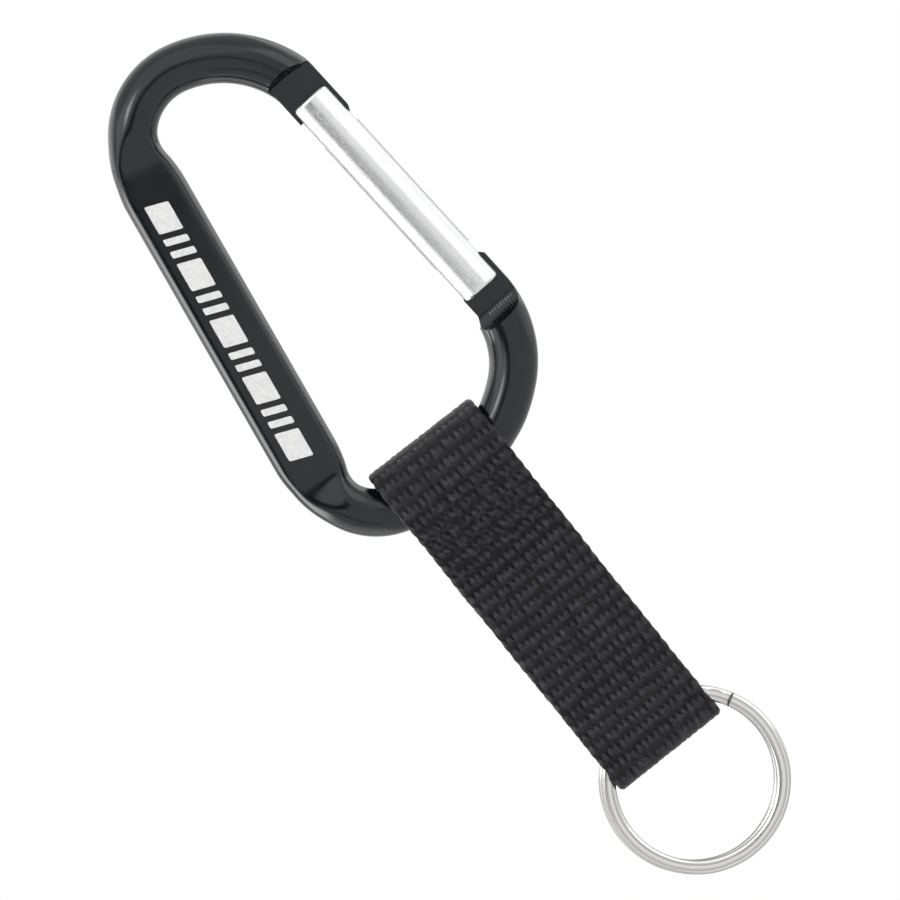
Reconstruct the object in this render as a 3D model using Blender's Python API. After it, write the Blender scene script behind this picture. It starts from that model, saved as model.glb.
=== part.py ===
"""Carabiner keyring: pressed-spine D carabiner, sprung gate, sewn webbing strap and split ring.

Drawn in a design frame in millimetres: X across the front, Y front (-) to back (+), Z up, with
the strap's centre line at X = 0. Every vertex is then moved so that the inner top of the hook
bend, where the part hangs, is the origin, and scaled to metres.
"""
import math

import bmesh
import bpy
from mathutils import Vector

MM = 0.001

# Gate line: the pivot pin's centre and the lean of the gate from vertical.
PIVOT_X = 21.2
PIVOT_Z = 13.6
GATE_LEAN = math.radians(3.3)

# Carabiner centre line: tangent arcs from the nose round the hook, spine and basket.
NOSE_ARC_X = 2.15
NOSE_ARC_Z = 48.6
NOSE_ARC_R = 17.4
NOSE_ARC_START = math.radians(16.0)
NOSE_STRAIGHT_END = 38.9
NOSE_ARC_END = math.radians(75.0)
HOOK_ARC_R = 10.8
CORNER_ARC_X = -5.7
CORNER_ARC_Z = 3.25
CORNER_ARC_R = 9.7
CORNER_ARC_END = math.radians(248.2)
BASKET_ARC_R = 24.9
BASKET_ARC_END = math.radians(310.0)
STATION_STEP = math.radians(7.0)

# Rod section: round in the bends, pressed wide and flat along the spine.
ROD_R_NOSE = 3.76
ROD_R_HOOK = 3.65
ROD_R_BASKET = 3.57
ROD_R_PIVOT = 3.86
SPINE_HALF_WIDTH = 5.0
SPINE_HALF_THICK = 2.45
SPINE_STATIONS = (0.05, 0.11, 0.5, 0.86, 0.92, 0.96)
WIDEN_OUTER = (-4.0, 5.5)
WIDEN_INNER = (-4.0, 7.0)
PRESS_RUN_OUT = (1.0, 6.0)
NOSE_TAPER = (6.0, 26.0)
PIVOT_TAPER = 14.0
SIDE_POINTS = 9
MAX_SIDE_ANGLE = math.radians(78.0)

# Tongues milled on both rod ends, in gate coordinates (b across, a along from the pivot).
TONGUE_HALF = 1.0
NOSE_FLAT_START = 40.2
NOSE_RAMP = 1.1
PIVOT_FLAT_START = -4.7
PIVOT_RAMP = 3.0
NOSE_END = 29.9
PIVOT_END = 3.0
NOSE_INNER = -3.6
NOSE_OUTER = 3.7
PIVOT_INNER = -3.3
PIVOT_OUTER = 3.86
SIDE_RISE = 0.75
RUN_OUT_STEPS = 5
RUN_OUT_CLEAR = 0.3
NOSE_SIDE_OUTER = (-1.2, 0.3)
NOSE_SIDE_INNER = (-1.6, 0.3)
PIVOT_SIDE_OUTER = (-1.3, -2.2)
PIVOT_SIDE_INNER = (0.0, -1.4)
LIP_MOUTH = -0.3
LIP_HOOK = ((-0.5, 0.1), (-1.3, 0.5), (-1.75, 1.15), (-1.6, 1.8))
LIP_TOE = ((1.9, 0.0), (2.9, 0.35), (3.45, 1.0), (3.8, 1.9))
CAM_HEEL = ((-3.4, -1.75), (-2.95, -0.9), (-2.75, 0.6), (-2.2, 1.9), (-1.2, 3.0))
CAM_TOE = ((2.4, 3.0), (3.2, 2.35), (3.96, 1.5))
CUTTER_REACH = 9.0
CUTTER_PAST = 1.0

# Gate.
GATE_R = 3.3
GATE_BOTTOM = -2.25
GATE_TOP = 36.05
GATE_CHAMFER = 0.5
GATE_EDGE = 0.15
SLOT_HALF = 1.12
PIVOT_SLOT_TOP = 4.6
LATCH_SLOT_BOTTOM = 28.9
BORE_R = 1.55
BORE_TOP = 22.2
BORE_POINT = (0.25, 0.8)
PIN_R = 1.0
PIN_HALF = 3.12
PIN_DOME = 0.15
PIN_DOME_SHARE = 0.55
GATE_HOLE_R = 1.02
TONGUE_HOLE_R = 1.06
LATCH_A = 32.65
NOTCH_CLEAR = 1.15
NOTCH_STEPS = 8
PLUNGER_R = 1.46
PLUNGER_TIP = 3.15
PLUNGER_BACK = 8.4
PLUNGER_EDGE = 0.15
PLUNGER_NOSE = ((1.01, 0.0), (0.46, 0.12), (0.12, 0.4), (0.0, 0.8))
SPRING_R = 1.22
SPRING_WIRE_R = 0.19
SPRING_START = 8.75
SPRING_END = 21.8
SPRING_TURNS = 9
SPRING_STEPS = 11
SPRING_SIDES = 5

# Webbing.
WEB_HALF_WIDTH = 9.5
WEB_T = 1.35
LAYER_GAP = 0.2
LOOP_CLEAR = 0.3
FLAT_TOP = -23.0
TUCKED_END = -20.0
FLAP_END = -33.8
HINGE_Z = -47.2
HINGE_GAP = 0.3
LOOP_STEPS = 22
FILLET_STEPS = 4
FILLET_REACH = 2.6
END_CHAMFER = 0.25
INNER_END_DROP = 1.0
POCKET_HALF = 1.5
POCKET_CORNER = 0.9
POCKET_CLEAR = 0.15
POCKET_STEPS = 4
SKIN_STEPS = 6
CAP_STEPS = 8
CROTCH_RISE = 1.3
NECK_RISE = 1.3
NECK_SPREAD = 0.5
POCKET_RISE = 0.1
SKIN_DROP = 0.4
STITCH_ROWS = (("webbing_stitch_upper", -27.2), ("webbing_stitch_lower", -31.9))
STITCH_HALF_WIDTH = 8.0
STITCH_AMPLITUDE = 1.0
STITCH_ZIGS = 20
THREAD_R = 0.18
THREAD_SIDES = 5
THREAD_GAP = 0.05
THREAD_MITRE = 0.35

# Split ring.
RING_Z = -64.75
RING_OUTER_R = 14.05
RING_INNER_R = 11.75
COIL_T = 1.15
COIL_GAP = 0.1
RING_START = math.radians(29.0)
RING_LAP = math.radians(15.0)
RING_END_GAP = math.radians(2.0)
RING_STEP = math.radians(7.5)
COIL_ROUND = 0.32
CROSSOVER_SHARES = (0.1, 0.3, 0.7, 0.9)


def gate_dirs():
    along = (-math.sin(GATE_LEAN), math.cos(GATE_LEAN))
    across = (math.cos(GATE_LEAN), math.sin(GATE_LEAN))
    return along, across


def gate_point(b, a):
    along, across = gate_dirs()
    return (PIVOT_X + a * along[0] + b * across[0], PIVOT_Z + a * along[1] + b * across[1])


def arc_points(cx, cz, radius, start, end):
    """Stations along an arc, each a point and its outward unit normal."""
    count = max(1, int(math.ceil(abs(end - start) / STATION_STEP)))
    out = []
    for i in range(count + 1):
        angle = start + (end - start) * i / count
        normal = (math.cos(angle), math.sin(angle))
        out.append(((cx + radius * normal[0], cz + radius * normal[1]), normal))
    return out


def gate_offset():
    _, across = gate_dirs()
    return across[0] * PIVOT_X + across[1] * PIVOT_Z


def centre_line():
    """Arc centres and radii: all but the nose arc are solved to meet the next one tangent."""
    _, across = gate_dirs()
    offset = gate_offset()
    hook_x = NOSE_ARC_X + (NOSE_ARC_R - HOOK_ARC_R) * math.cos(NOSE_ARC_END)
    hook_z = NOSE_ARC_Z + (NOSE_ARC_R - HOOK_ARC_R) * math.sin(NOSE_ARC_END)
    dx = hook_x - CORNER_ARC_X
    dz = hook_z - CORNER_ARC_Z
    spine = math.atan2(dz, dx) + math.acos((CORNER_ARC_R - HOOK_ARC_R) / math.hypot(dx, dz))
    basket_x = CORNER_ARC_X - (BASKET_ARC_R - CORNER_ARC_R) * math.cos(CORNER_ARC_END)
    basket_z = CORNER_ARC_Z - (BASKET_ARC_R - CORNER_ARC_R) * math.sin(CORNER_ARC_END)
    ux = math.cos(BASKET_ARC_END)
    uz = math.sin(BASKET_ARC_END)
    lean = across[0] * ux + across[1] * uz
    base = across[0] * basket_x + across[1] * basket_z
    pivot_r = (offset - base - BASKET_ARC_R * lean) / (1.0 - lean)
    pivot_x = basket_x + (BASKET_ARC_R - pivot_r) * ux
    pivot_z = basket_z + (BASKET_ARC_R - pivot_r) * uz
    return {
        "nose": (NOSE_ARC_X, NOSE_ARC_Z, NOSE_ARC_R),
        "hook": (hook_x, hook_z, HOOK_ARC_R),
        "corner": (CORNER_ARC_X, CORNER_ARC_Z, CORNER_ARC_R),
        "basket": (basket_x, basket_z, BASKET_ARC_R),
        "pivot": (pivot_x, pivot_z, pivot_r),
        "spine": spine,
    }


LINE = centre_line()
HANG_X = LINE["hook"][0]
HANG_Z = LINE["hook"][1] + HOOK_ARC_R - ROD_R_HOOK


def to_row(x, y, z):
    return Vector(((x - HANG_X) * MM, y * MM, (z - HANG_Z) * MM))


def ramp(value, start, end):
    """Smooth 0 to 1 as value goes from start to end."""
    t = min(1.0, max(0.0, (value - start) / (end - start)))
    return t * t * (3.0 - 2.0 * t)


def body_stations():
    """Point, outward normal, outer and inner half width, round half depth and clip depth."""
    _, across = gate_dirs()
    path = [(gate_point(0.0, NOSE_END), across), (gate_point(0.0, NOSE_STRAIGHT_END), across)]
    path += arc_points(*LINE["nose"], NOSE_ARC_START, NOSE_ARC_END)
    path += arc_points(*LINE["hook"], NOSE_ARC_END, LINE["spine"])[1:]
    spine_top = len(path) - 1
    normal = path[spine_top][1]
    top = path[spine_top][0]
    corner = arc_points(*LINE["corner"], LINE["spine"], CORNER_ARC_END)
    bottom = corner[0][0]
    for fraction in SPINE_STATIONS:
        point = (top[0] + (bottom[0] - top[0]) * fraction, top[1] + (bottom[1] - top[1]) * fraction)
        path.append((point, normal))
    spine_bottom = len(path)
    path += corner
    path += arc_points(*LINE["basket"], CORNER_ARC_END, BASKET_ARC_END)[1:]
    path += arc_points(*LINE["pivot"], BASKET_ARC_END - 2.0 * math.pi, GATE_LEAN)[1:]
    path.append((gate_point(0.0, PIVOT_END), across))

    travel = [0.0]
    for i in range(1, len(path)):
        step = math.dist(path[i][0], path[i - 1][0])
        travel.append(travel[-1] + step)
    s_top = travel[spine_top]
    s_bottom = travel[spine_bottom]
    s_nose = travel[2]
    s_end = travel[-2]
    out = []
    for (point, nrm), s in zip(path, travel):
        thin = ramp(s, s_nose + NOSE_TAPER[0], s_nose + NOSE_TAPER[1])
        rod = ROD_R_NOSE + (ROD_R_HOOK - ROD_R_NOSE) * thin
        if s > 0.5 * (s_top + s_bottom):
            rod = ROD_R_BASKET + (ROD_R_PIVOT - ROD_R_BASKET) * ramp(s, s_end - PIVOT_TAPER, s_end)
        past = max(s_top - s, s - s_bottom)
        wide_out = 1.0 - ramp(past, *WIDEN_OUTER)
        wide_in = 1.0 - ramp(past, *WIDEN_INNER)
        clip = (past - PRESS_RUN_OUT[0]) / (PRESS_RUN_OUT[1] - PRESS_RUN_OUT[0])
        clip = min(1.0, max(0.0, clip))
        width_out = rod + (SPINE_HALF_WIDTH - rod) * wide_out
        width_in = rod + (SPINE_HALF_WIDTH - rod) * wide_in
        depth = SPINE_HALF_THICK + (rod - SPINE_HALF_THICK) * clip
        out.append((point, nrm, width_out, width_in, rod, depth))
    return out


def section(width_out, width_in, rod, depth):
    """Round section pressed flat at the depth given: side arcs joined by two flats."""
    side = min(MAX_SIDE_ANGLE, math.asin(min(1.0, depth / rod)))
    pts = []
    for i in range(SIDE_POINTS):
        angle = -side + 2.0 * side * i / (SIDE_POINTS - 1)
        pts.append((width_out * math.cos(angle), rod * math.sin(angle)))
    half_flat = (width_out - width_in) * math.cos(side) * 0.5
    pts.append((half_flat, rod * math.sin(side)))
    for i in range(SIDE_POINTS):
        angle = math.pi - side + 2.0 * side * i / (SIDE_POINTS - 1)
        pts.append((width_in * math.cos(angle), rod * math.sin(angle)))
    pts.append((half_flat, -rod * math.sin(side)))
    return pts


def material(name, colour, metallic, roughness):
    mat = bpy.data.materials.new(name)
    mat.use_nodes = True
    shader = mat.node_tree.nodes["Principled BSDF"]
    shader.inputs["Base Color"].default_value = (*colour, 1.0)
    shader.inputs["Metallic"].default_value = metallic
    shader.inputs["Roughness"].default_value = roughness
    return mat


def add_object(name, verts, faces, origin, look, smooth=True):
    """Make one mesh object from design-frame vertices, with its origin at the point given."""
    base = to_row(*origin)
    mesh = bpy.data.meshes.new(name)
    mesh.from_pydata([to_row(*v) - base for v in verts], [], faces)
    work = bmesh.new()
    work.from_mesh(mesh)
    bmesh.ops.recalc_face_normals(work, faces=work.faces)
    work.to_mesh(mesh)
    work.free()
    for poly in mesh.polygons:
        poly.use_smooth = smooth
    obj = bpy.data.objects.new(name, mesh)
    obj.location = base
    bpy.context.scene.collection.objects.link(obj)
    if look is not None:
        mesh.materials.append(material(name + "_look", *look))
    return obj


def rings_to_faces(ring_count, ring_size, closed=False):
    faces = []
    spans = ring_count if closed else ring_count - 1
    for i in range(spans):
        a = i * ring_size
        b = ((i + 1) % ring_count) * ring_size
        for j in range(ring_size):
            k = (j + 1) % ring_size
            faces.append((a + j, a + k, b + k, b + j))
    if not closed:
        faces.append(tuple(range(ring_size)))
        faces.append(tuple(range((ring_count - 1) * ring_size, ring_count * ring_size)))
    return faces


def prism(name, outline, low, high, place, origin, look=None, smooth=False):
    """Extrude a 2-D outline from low to high; place(p, q, d) gives design coordinates."""
    count = len(outline)
    verts = [place(p, q, low) for p, q in outline] + [place(p, q, high) for p, q in outline]
    faces = rings_to_faces(2, count)
    return add_object(name, verts, faces, origin, look, smooth)


def lathe(name, profile, sides, place, origin, look, smooth=True):
    """Turn a (radius, along) profile; place(u, v, w) gives design coordinates, w on the axis."""
    verts = []
    for radius, along in profile:
        for i in range(sides):
            angle = 2.0 * math.pi * (i + 0.5) / sides
            verts.append(place(radius * math.cos(angle), radius * math.sin(angle), along))
    return add_object(name, verts, rings_to_faces(len(profile), sides), origin, look, smooth)


def cut(target, cutter):
    cutter.hide_render = True
    cutter.display_type = "WIRE"
    mod = target.modifiers.new(cutter.name, "BOOLEAN")
    mod.operation = "DIFFERENCE"
    mod.solver = "EXACT"
    mod.object = cutter


def place_gate_plane(b, a, y):
    x, z = gate_point(b, a)
    return (x, y, z)


def place_gate_side(y, a, b):
    x, z = gate_point(b, a)
    return (x, y, z)


def place_gate_axis(b, y, a):
    x, z = gate_point(b, a)
    return (x, y, z)


def place_across_pin(b_a, sign=1.0):
    def place(u, v, w):
        x, z = gate_point(b_a[0] + u, b_a[1] + v)
        return (x, w * sign, z)
    return place


def place_strap(y, z, x):
    return (x, y, z)


def tongue_flat_outline(flat, step, far, side):
    """Side view of one milled flat: from its far end to the run-out up the rod's surface."""
    top = ROD_R_NOSE + RUN_OUT_CLEAR
    pts = [(TONGUE_HALF * side, far), (TONGUE_HALF * side, flat)]
    for i in range(1, RUN_OUT_STEPS + 1):
        angle = 0.5 * math.pi * i / RUN_OUT_STEPS
        along = flat + (step - flat) * math.sin(angle)
        depth = TONGUE_HALF + (top - TONGUE_HALF) * (1.0 - math.cos(angle))
        pts.append((depth * side, along))
    pts.append((CUTTER_REACH * side, step))
    pts.append((CUTTER_REACH * side, far))
    return pts


def side_cutter(target, name, edge, far, profile, origin):
    """Cut away what lies sideways of a profile that runs from the rod's end to its surface."""
    reach = math.copysign(CUTTER_REACH, profile[-1][0])
    outline = [(edge, far), *profile, (reach, profile[-1][1]), (reach, far)]
    cut(target, prism(name, outline, -CUTTER_REACH, CUTTER_REACH, place_gate_plane, origin))


def build_body(origin):
    look = ((0.02, 0.021, 0.023), 0.85, 0.35)
    verts = []
    rings = body_stations()
    for point, normal, width_out, width_in, rod, depth in rings:
        for u, v in section(width_out, width_in, rod, depth):
            verts.append((point[0] + u * normal[0], v, point[1] + u * normal[1]))
    size = 2 * SIDE_POINTS + 2
    body = add_object("carabiner_body", verts, rings_to_faces(len(rings), size), origin, look)

    nose_low = NOSE_END - CUTTER_REACH
    pivot_high = PIVOT_END + CUTTER_REACH
    for side, tag in ((-1.0, "front"), (1.0, "back")):
        nose = tongue_flat_outline(NOSE_FLAT_START, NOSE_FLAT_START + NOSE_RAMP, nose_low, side)
        cutter = prism("cut_nose_" + tag, nose, -CUTTER_REACH, CUTTER_REACH, place_gate_side, origin)
        cut(body, cutter)
        pivot = tongue_flat_outline(PIVOT_FLAT_START, PIVOT_FLAT_START - PIVOT_RAMP, pivot_high, side)
        cutter = prism("cut_pivot_" + tag, pivot, -CUTTER_REACH, CUTTER_REACH, place_gate_side, origin)
        cut(body, cutter)

    sides = (
        ("cut_nose_outer", NOSE_OUTER, nose_low, NOSE_FLAT_START, NOSE_SIDE_OUTER),
        ("cut_nose_inner", NOSE_INNER, nose_low, NOSE_FLAT_START, NOSE_SIDE_INNER),
        ("cut_pivot_outer", PIVOT_OUTER, pivot_high, PIVOT_FLAT_START, PIVOT_SIDE_OUTER),
        ("cut_pivot_inner", PIVOT_INNER, pivot_high, PIVOT_FLAT_START, PIVOT_SIDE_INNER),
    )
    for name, edge, far, start, (straight, run_out) in sides:
        lead = edge + math.copysign(SIDE_RISE, edge)
        side_cutter(body, name, edge, far, [(edge, start + straight), (lead, start + run_out)], origin)

    low = LATCH_A - NOTCH_CLEAR
    notch = [(-CUTTER_REACH, low), (-CUTTER_REACH, LATCH_A + NOTCH_CLEAR)]
    for i in range(NOTCH_STEPS + 1):
        angle = 0.5 * math.pi - math.pi * i / NOTCH_STEPS
        notch.append((NOTCH_CLEAR * math.cos(angle), LATCH_A + NOTCH_CLEAR * math.sin(angle)))
    cut(body, prism("cut_latch_notch", notch, -CUTTER_REACH, CUTTER_REACH, place_gate_plane, origin))

    below = NOSE_END - CUTTER_PAST
    above = PIVOT_END + CUTTER_PAST
    hook = [(b, NOSE_END + a) for b, a in LIP_HOOK]
    toe = [(b, NOSE_END + a) for b, a in LIP_TOE]
    heel = list(reversed(CAM_HEEL))
    side_cutter(body, "cut_lip_inner", LIP_MOUTH, below, hook, origin)
    side_cutter(body, "cut_lip_outer", LIP_TOE[0][0], below, toe, origin)
    side_cutter(body, "cut_cam_inner", heel[0][0], above, heel, origin)
    side_cutter(body, "cut_cam_outer", CAM_TOE[0][0], above, list(CAM_TOE), origin)
    hole = [(TONGUE_HOLE_R, -CUTTER_REACH), (TONGUE_HOLE_R, CUTTER_REACH)]
    cut(body, lathe("cut_pivot_hole", hole, 24, place_across_pin((0.0, 0.0)), origin, None))
    return body


def build_gate(origin):
    look = ((0.86, 0.87, 0.88), 0.95, 0.25)
    profile = [
        (GATE_R - GATE_CHAMFER, GATE_BOTTOM),
        (GATE_R - GATE_EDGE, GATE_BOTTOM + GATE_EDGE),
        (GATE_R, GATE_BOTTOM + GATE_CHAMFER),
        (GATE_R, GATE_TOP - GATE_CHAMFER),
        (GATE_R - GATE_EDGE, GATE_TOP - GATE_EDGE),
        (GATE_R - GATE_CHAMFER, GATE_TOP),
    ]
    tube = lathe("gate_tube", profile, 28, place_gate_axis, origin, look)
    slots = (
        ("cut_pivot_slot", GATE_BOTTOM - CUTTER_PAST, PIVOT_SLOT_TOP),
        ("cut_latch_slot", LATCH_SLOT_BOTTOM, GATE_TOP + CUTTER_PAST),
    )
    for name, low, high in slots:
        outline = [(-SLOT_HALF, low), (SLOT_HALF, low), (SLOT_HALF, high), (-SLOT_HALF, high)]
        cut(tube, prism(name, outline, -CUTTER_REACH, CUTTER_REACH, place_gate_side, origin))
    bore = [
        (BORE_R, GATE_BOTTOM - CUTTER_PAST),
        (BORE_R, BORE_TOP),
        (BORE_POINT[0], BORE_TOP + BORE_POINT[1]),
    ]
    cut(tube, lathe("cut_spring_bore", bore, 20, place_gate_axis, origin, None))
    for name, along in (("cut_pivot_eyes", 0.0), ("cut_latch_eyes", LATCH_A)):
        hole = [(GATE_HOLE_R, -CUTTER_REACH), (GATE_HOLE_R, CUTTER_REACH)]
        cut(tube, lathe(name, hole, 24, place_across_pin((0.0, along)), origin, None))

    pin_look = ((0.80, 0.81, 0.82), 0.95, 0.3)
    pin = [
        (PIN_DOME_SHARE * PIN_R, -PIN_HALF - PIN_DOME),
        (PIN_R, -PIN_HALF),
        (PIN_R, PIN_HALF),
        (PIN_DOME_SHARE * PIN_R, PIN_HALF + PIN_DOME),
    ]
    lathe("gate_pivot_pin", pin, 24, place_across_pin((0.0, 0.0)), origin, pin_look)
    lathe("gate_latch_pin", pin, 24, place_across_pin((0.0, LATCH_A)), origin, pin_look)
    return tube


def build_spring():
    x, z = gate_point(0.0, PLUNGER_BACK)
    origin = (x, 0.0, z)
    tip = [(PLUNGER_R - inset, PLUNGER_TIP + rise) for inset, rise in PLUNGER_NOSE]
    tip.append((PLUNGER_R, PLUNGER_BACK - PLUNGER_EDGE))
    tip.append((PLUNGER_R - PLUNGER_EDGE, PLUNGER_BACK))
    lathe("gate_plunger", tip, 20, place_gate_axis, origin, ((0.55, 0.50, 0.40), 0.9, 0.35))

    verts = []
    total = SPRING_TURNS * SPRING_STEPS
    low = SPRING_START + SPRING_WIRE_R
    high = SPRING_END - SPRING_WIRE_R
    for i in range(total + 1):
        angle = 2.0 * math.pi * i / SPRING_STEPS
        along = low + (high - low) * i / total
        for j in range(SPRING_SIDES):
            turn = 2.0 * math.pi * j / SPRING_SIDES
            radius = SPRING_R + SPRING_WIRE_R * math.cos(turn)
            height = along + SPRING_WIRE_R * math.sin(turn)
            verts.append(place_gate_axis(radius * math.cos(angle), radius * math.sin(angle), height))
    faces = rings_to_faces(total + 1, SPRING_SIDES)
    add_object("gate_spring", verts, faces, origin, ((0.55, 0.55, 0.56), 0.95, 0.3))


def loop_geometry():
    """Centre height and inner radius of the strap loop that clears the basket at any swing."""
    _, basket_z, basket_r = LINE["basket"]
    rod_low = basket_z - basket_r - ROD_R_BASKET
    rod_high = basket_z - math.sqrt((basket_r - ROD_R_BASKET) ** 2 - WEB_HALF_WIDTH ** 2)
    centre = 0.5 * (rod_low + rod_high)
    return centre, 0.5 * (rod_high - rod_low) + LOOP_CLEAR


def strip_path(front_y, back_y, back_end, bottom):
    """Centre line of the webbing: up the front, over the loop and down the back."""
    centre, inner = loop_geometry()
    radius = inner + 0.5 * WEB_T
    path = [(front_y, bottom)]

    def tangent(y, z, side):
        reach = math.hypot(y, z - centre)
        lean = math.atan2(y * side, centre - z)
        swing = math.acos(radius / reach) - lean
        return -0.5 * math.pi + swing

    front = tangent(front_y, FLAT_TOP, -1.0)
    back = tangent(back_y, FLAT_TOP, 1.0)
    edge = (-radius * math.cos(front), centre + radius * math.sin(front))
    path += fillet((front_y, bottom), (front_y, FLAT_TOP), edge)
    for i in range(LOOP_STEPS + 1):
        angle = (math.pi - front) + (front + back - math.pi) * i / LOOP_STEPS
        path.append((radius * math.cos(angle), centre + radius * math.sin(angle)))
    edge = (radius * math.cos(back), centre + radius * math.sin(back))
    path += fillet(edge, (back_y, FLAT_TOP), (back_y, back_end))
    path.append((back_y, back_end))
    return path


def fillet(before, corner, after):
    a = Vector(before) - Vector(corner)
    b = Vector(after) - Vector(corner)
    start = Vector(corner) + a.normalized() * FILLET_REACH
    end = Vector(corner) + b.normalized() * FILLET_REACH
    pts = []
    for i in range(FILLET_STEPS + 1):
        t = i / FILLET_STEPS
        p = start * (1.0 - t) ** 2 + Vector(corner) * 2.0 * t * (1.0 - t) + end * t * t
        pts.append((p.x, p.y))
    return pts


def offset_path(path, amount):
    out = []
    for i, point in enumerate(path):
        before = Vector(path[max(0, i - 1)])
        after = Vector(path[min(len(path) - 1, i + 1)])
        run = (after - before).normalized()
        out.append((point[0] - run.y * amount, point[1] + run.x * amount))
    return out


def build_strap(origin):
    look = ((0.03, 0.032, 0.036), 0.0, 0.85)
    half_gap = 0.5 * LAYER_GAP
    bottom = HINGE_Z + half_gap + WEB_T + HINGE_GAP
    path = strip_path(-(half_gap + 0.5 * WEB_T), half_gap + 1.5 * WEB_T, FLAP_END, bottom)
    outer = offset_path(path, 0.5 * WEB_T)
    inner = offset_path(path, -0.5 * WEB_T)
    kept = [p for p in inner if not (p[0] > 0.0 and p[1] < FLAT_TOP - INNER_END_DROP)]
    outline = list(outer)
    outline += [
        (half_gap + WEB_T, FLAP_END),
        (half_gap + WEB_T, bottom),
        (half_gap, bottom),
        (half_gap, TUCKED_END),
        (half_gap + WEB_T - END_CHAMFER, TUCKED_END),
        (half_gap + WEB_T, TUCKED_END - END_CHAMFER),
    ]
    outline += list(reversed(kept))
    prism("webbing_strap", outline, -WEB_HALF_WIDTH, WEB_HALF_WIDTH, place_strap, origin, look)

    face_y = half_gap + 2.0 * WEB_T + THREAD_GAP + THREAD_R
    for name, row_z in STITCH_ROWS:
        pts = []
        for i in range(STITCH_ZIGS + 1):
            x = -STITCH_HALF_WIDTH + 2.0 * STITCH_HALF_WIDTH * i / STITCH_ZIGS
            z = row_z + STITCH_AMPLITUDE * (1.0 if i % 2 else -1.0)
            pts.append(Vector((x, face_y, z)))
        verts = []
        for i, point in enumerate(pts):
            before = pts[max(0, i - 1)]
            after = pts[min(len(pts) - 1, i + 1)]
            inner_bend = 0 < i < len(pts) - 1
            run = (after - before).normalized()
            side = Vector((-run.z, 0.0, run.x))
            leg = (point - before if i else after - point).normalized()
            widen = 1.0 / max(THREAD_MITRE, abs(leg.dot(run))) if inner_bend else 1.0
            for j in range(THREAD_SIDES):
                turn = 2.0 * math.pi * j / THREAD_SIDES
                spread = THREAD_R * math.cos(turn) * widen
                p = point + side * spread + Vector((0.0, THREAD_R * math.sin(turn), 0.0))
                verts.append(tuple(p))
        faces = rings_to_faces(len(pts), THREAD_SIDES)
        add_object(name, verts, faces, origin, ((0.02, 0.02, 0.022), 0.0, 0.7))


def build_ring_loop():
    look = ((0.03, 0.032, 0.036), 0.0, 0.85)
    origin = (0.0, 0.0, HINGE_Z)
    flat_half = 0.5 * LAYER_GAP + WEB_T
    ring_top = RING_Z + RING_OUTER_R
    ring_low = RING_Z + math.sqrt(RING_INNER_R ** 2 - WEB_HALF_WIDTH ** 2)
    floor = ring_low - POCKET_CLEAR
    pocket = []
    for i in range(POCKET_STEPS + 1):
        angle = -0.5 * math.pi * i / POCKET_STEPS
        y = POCKET_HALF - POCKET_CORNER + POCKET_CORNER * math.cos(angle)
        pocket.append((y, floor + POCKET_CORNER + POCKET_CORNER * math.sin(angle)))
    pocket = [(POCKET_HALF, ring_top + POCKET_RISE), *pocket]
    mirrored = [(-y, z) for y, z in reversed(pocket)]
    pocket = [(0.0, ring_top + CROTCH_RISE), *pocket, *mirrored]

    wide = POCKET_HALF + WEB_T
    corner = POCKET_CORNER + WEB_T
    low = floor - WEB_T
    skin = [
        (flat_half, ring_top + CROTCH_RISE + NECK_RISE),
        (flat_half + NECK_SPREAD, ring_top + CROTCH_RISE),
        (wide, ring_top - SKIN_DROP),
    ]
    for i in range(SKIN_STEPS + 1):
        angle = -0.5 * math.pi * i / SKIN_STEPS
        skin.append((wide - corner + corner * math.cos(angle), low + corner + corner * math.sin(angle)))
    cap = []
    for i in range(CAP_STEPS + 1):
        angle = math.pi - math.pi * i / CAP_STEPS
        cap.append((flat_half * math.cos(angle), HINGE_Z + flat_half * math.sin(angle)))
    outline = cap + skin + [(-y, z) for y, z in reversed(skin)]
    loop = prism("webbing_ring_loop", outline, -WEB_HALF_WIDTH, WEB_HALF_WIDTH, place_strap, origin, look)
    reach = WEB_HALF_WIDTH + CUTTER_PAST
    cut(loop, prism("cut_ring_pocket", pocket, -reach, reach, place_strap, origin))


def build_split_ring():
    """Two turns of flat wire lying face to face, with a short crossover between the turns."""
    origin = (0.0, 0.0, RING_Z)
    half_r = 0.5 * (RING_OUTER_R - RING_INNER_R)
    mid_r = 0.5 * (RING_OUTER_R + RING_INNER_R)
    half_t = 0.5 * COIL_T
    level = half_t + 0.5 * COIL_GAP
    total = 4.0 * math.pi - RING_LAP - 2.0 * RING_END_GAP
    cross_end = 2.0 * math.pi - RING_END_GAP
    cross_start = cross_end - RING_LAP
    steps = int(math.ceil(total / RING_STEP))
    marks = [total * i / steps for i in range(steps + 1)]
    marks += [cross_start + RING_LAP * share for share in CROSSOVER_SHARES]
    marks = sorted(marks)
    corners = (
        (-half_r + COIL_ROUND, -half_t), (half_r - COIL_ROUND, -half_t),
        (half_r, -half_t + COIL_ROUND), (half_r, half_t - COIL_ROUND),
        (half_r - COIL_ROUND, half_t), (-half_r + COIL_ROUND, half_t),
        (-half_r, half_t - COIL_ROUND), (-half_r, -half_t + COIL_ROUND),
    )
    verts = []
    for mark in marks:
        angle = RING_START - mark
        y = -level + 2.0 * level * ramp(mark, cross_start, cross_end)
        for u, v in corners:
            radius = mid_r + u
            verts.append((radius * math.cos(angle), y + v, RING_Z + radius * math.sin(angle)))
    faces = rings_to_faces(len(marks), len(corners))
    add_object("split_ring", verts, faces, origin, ((0.80, 0.79, 0.76), 1.0, 0.18))


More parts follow.
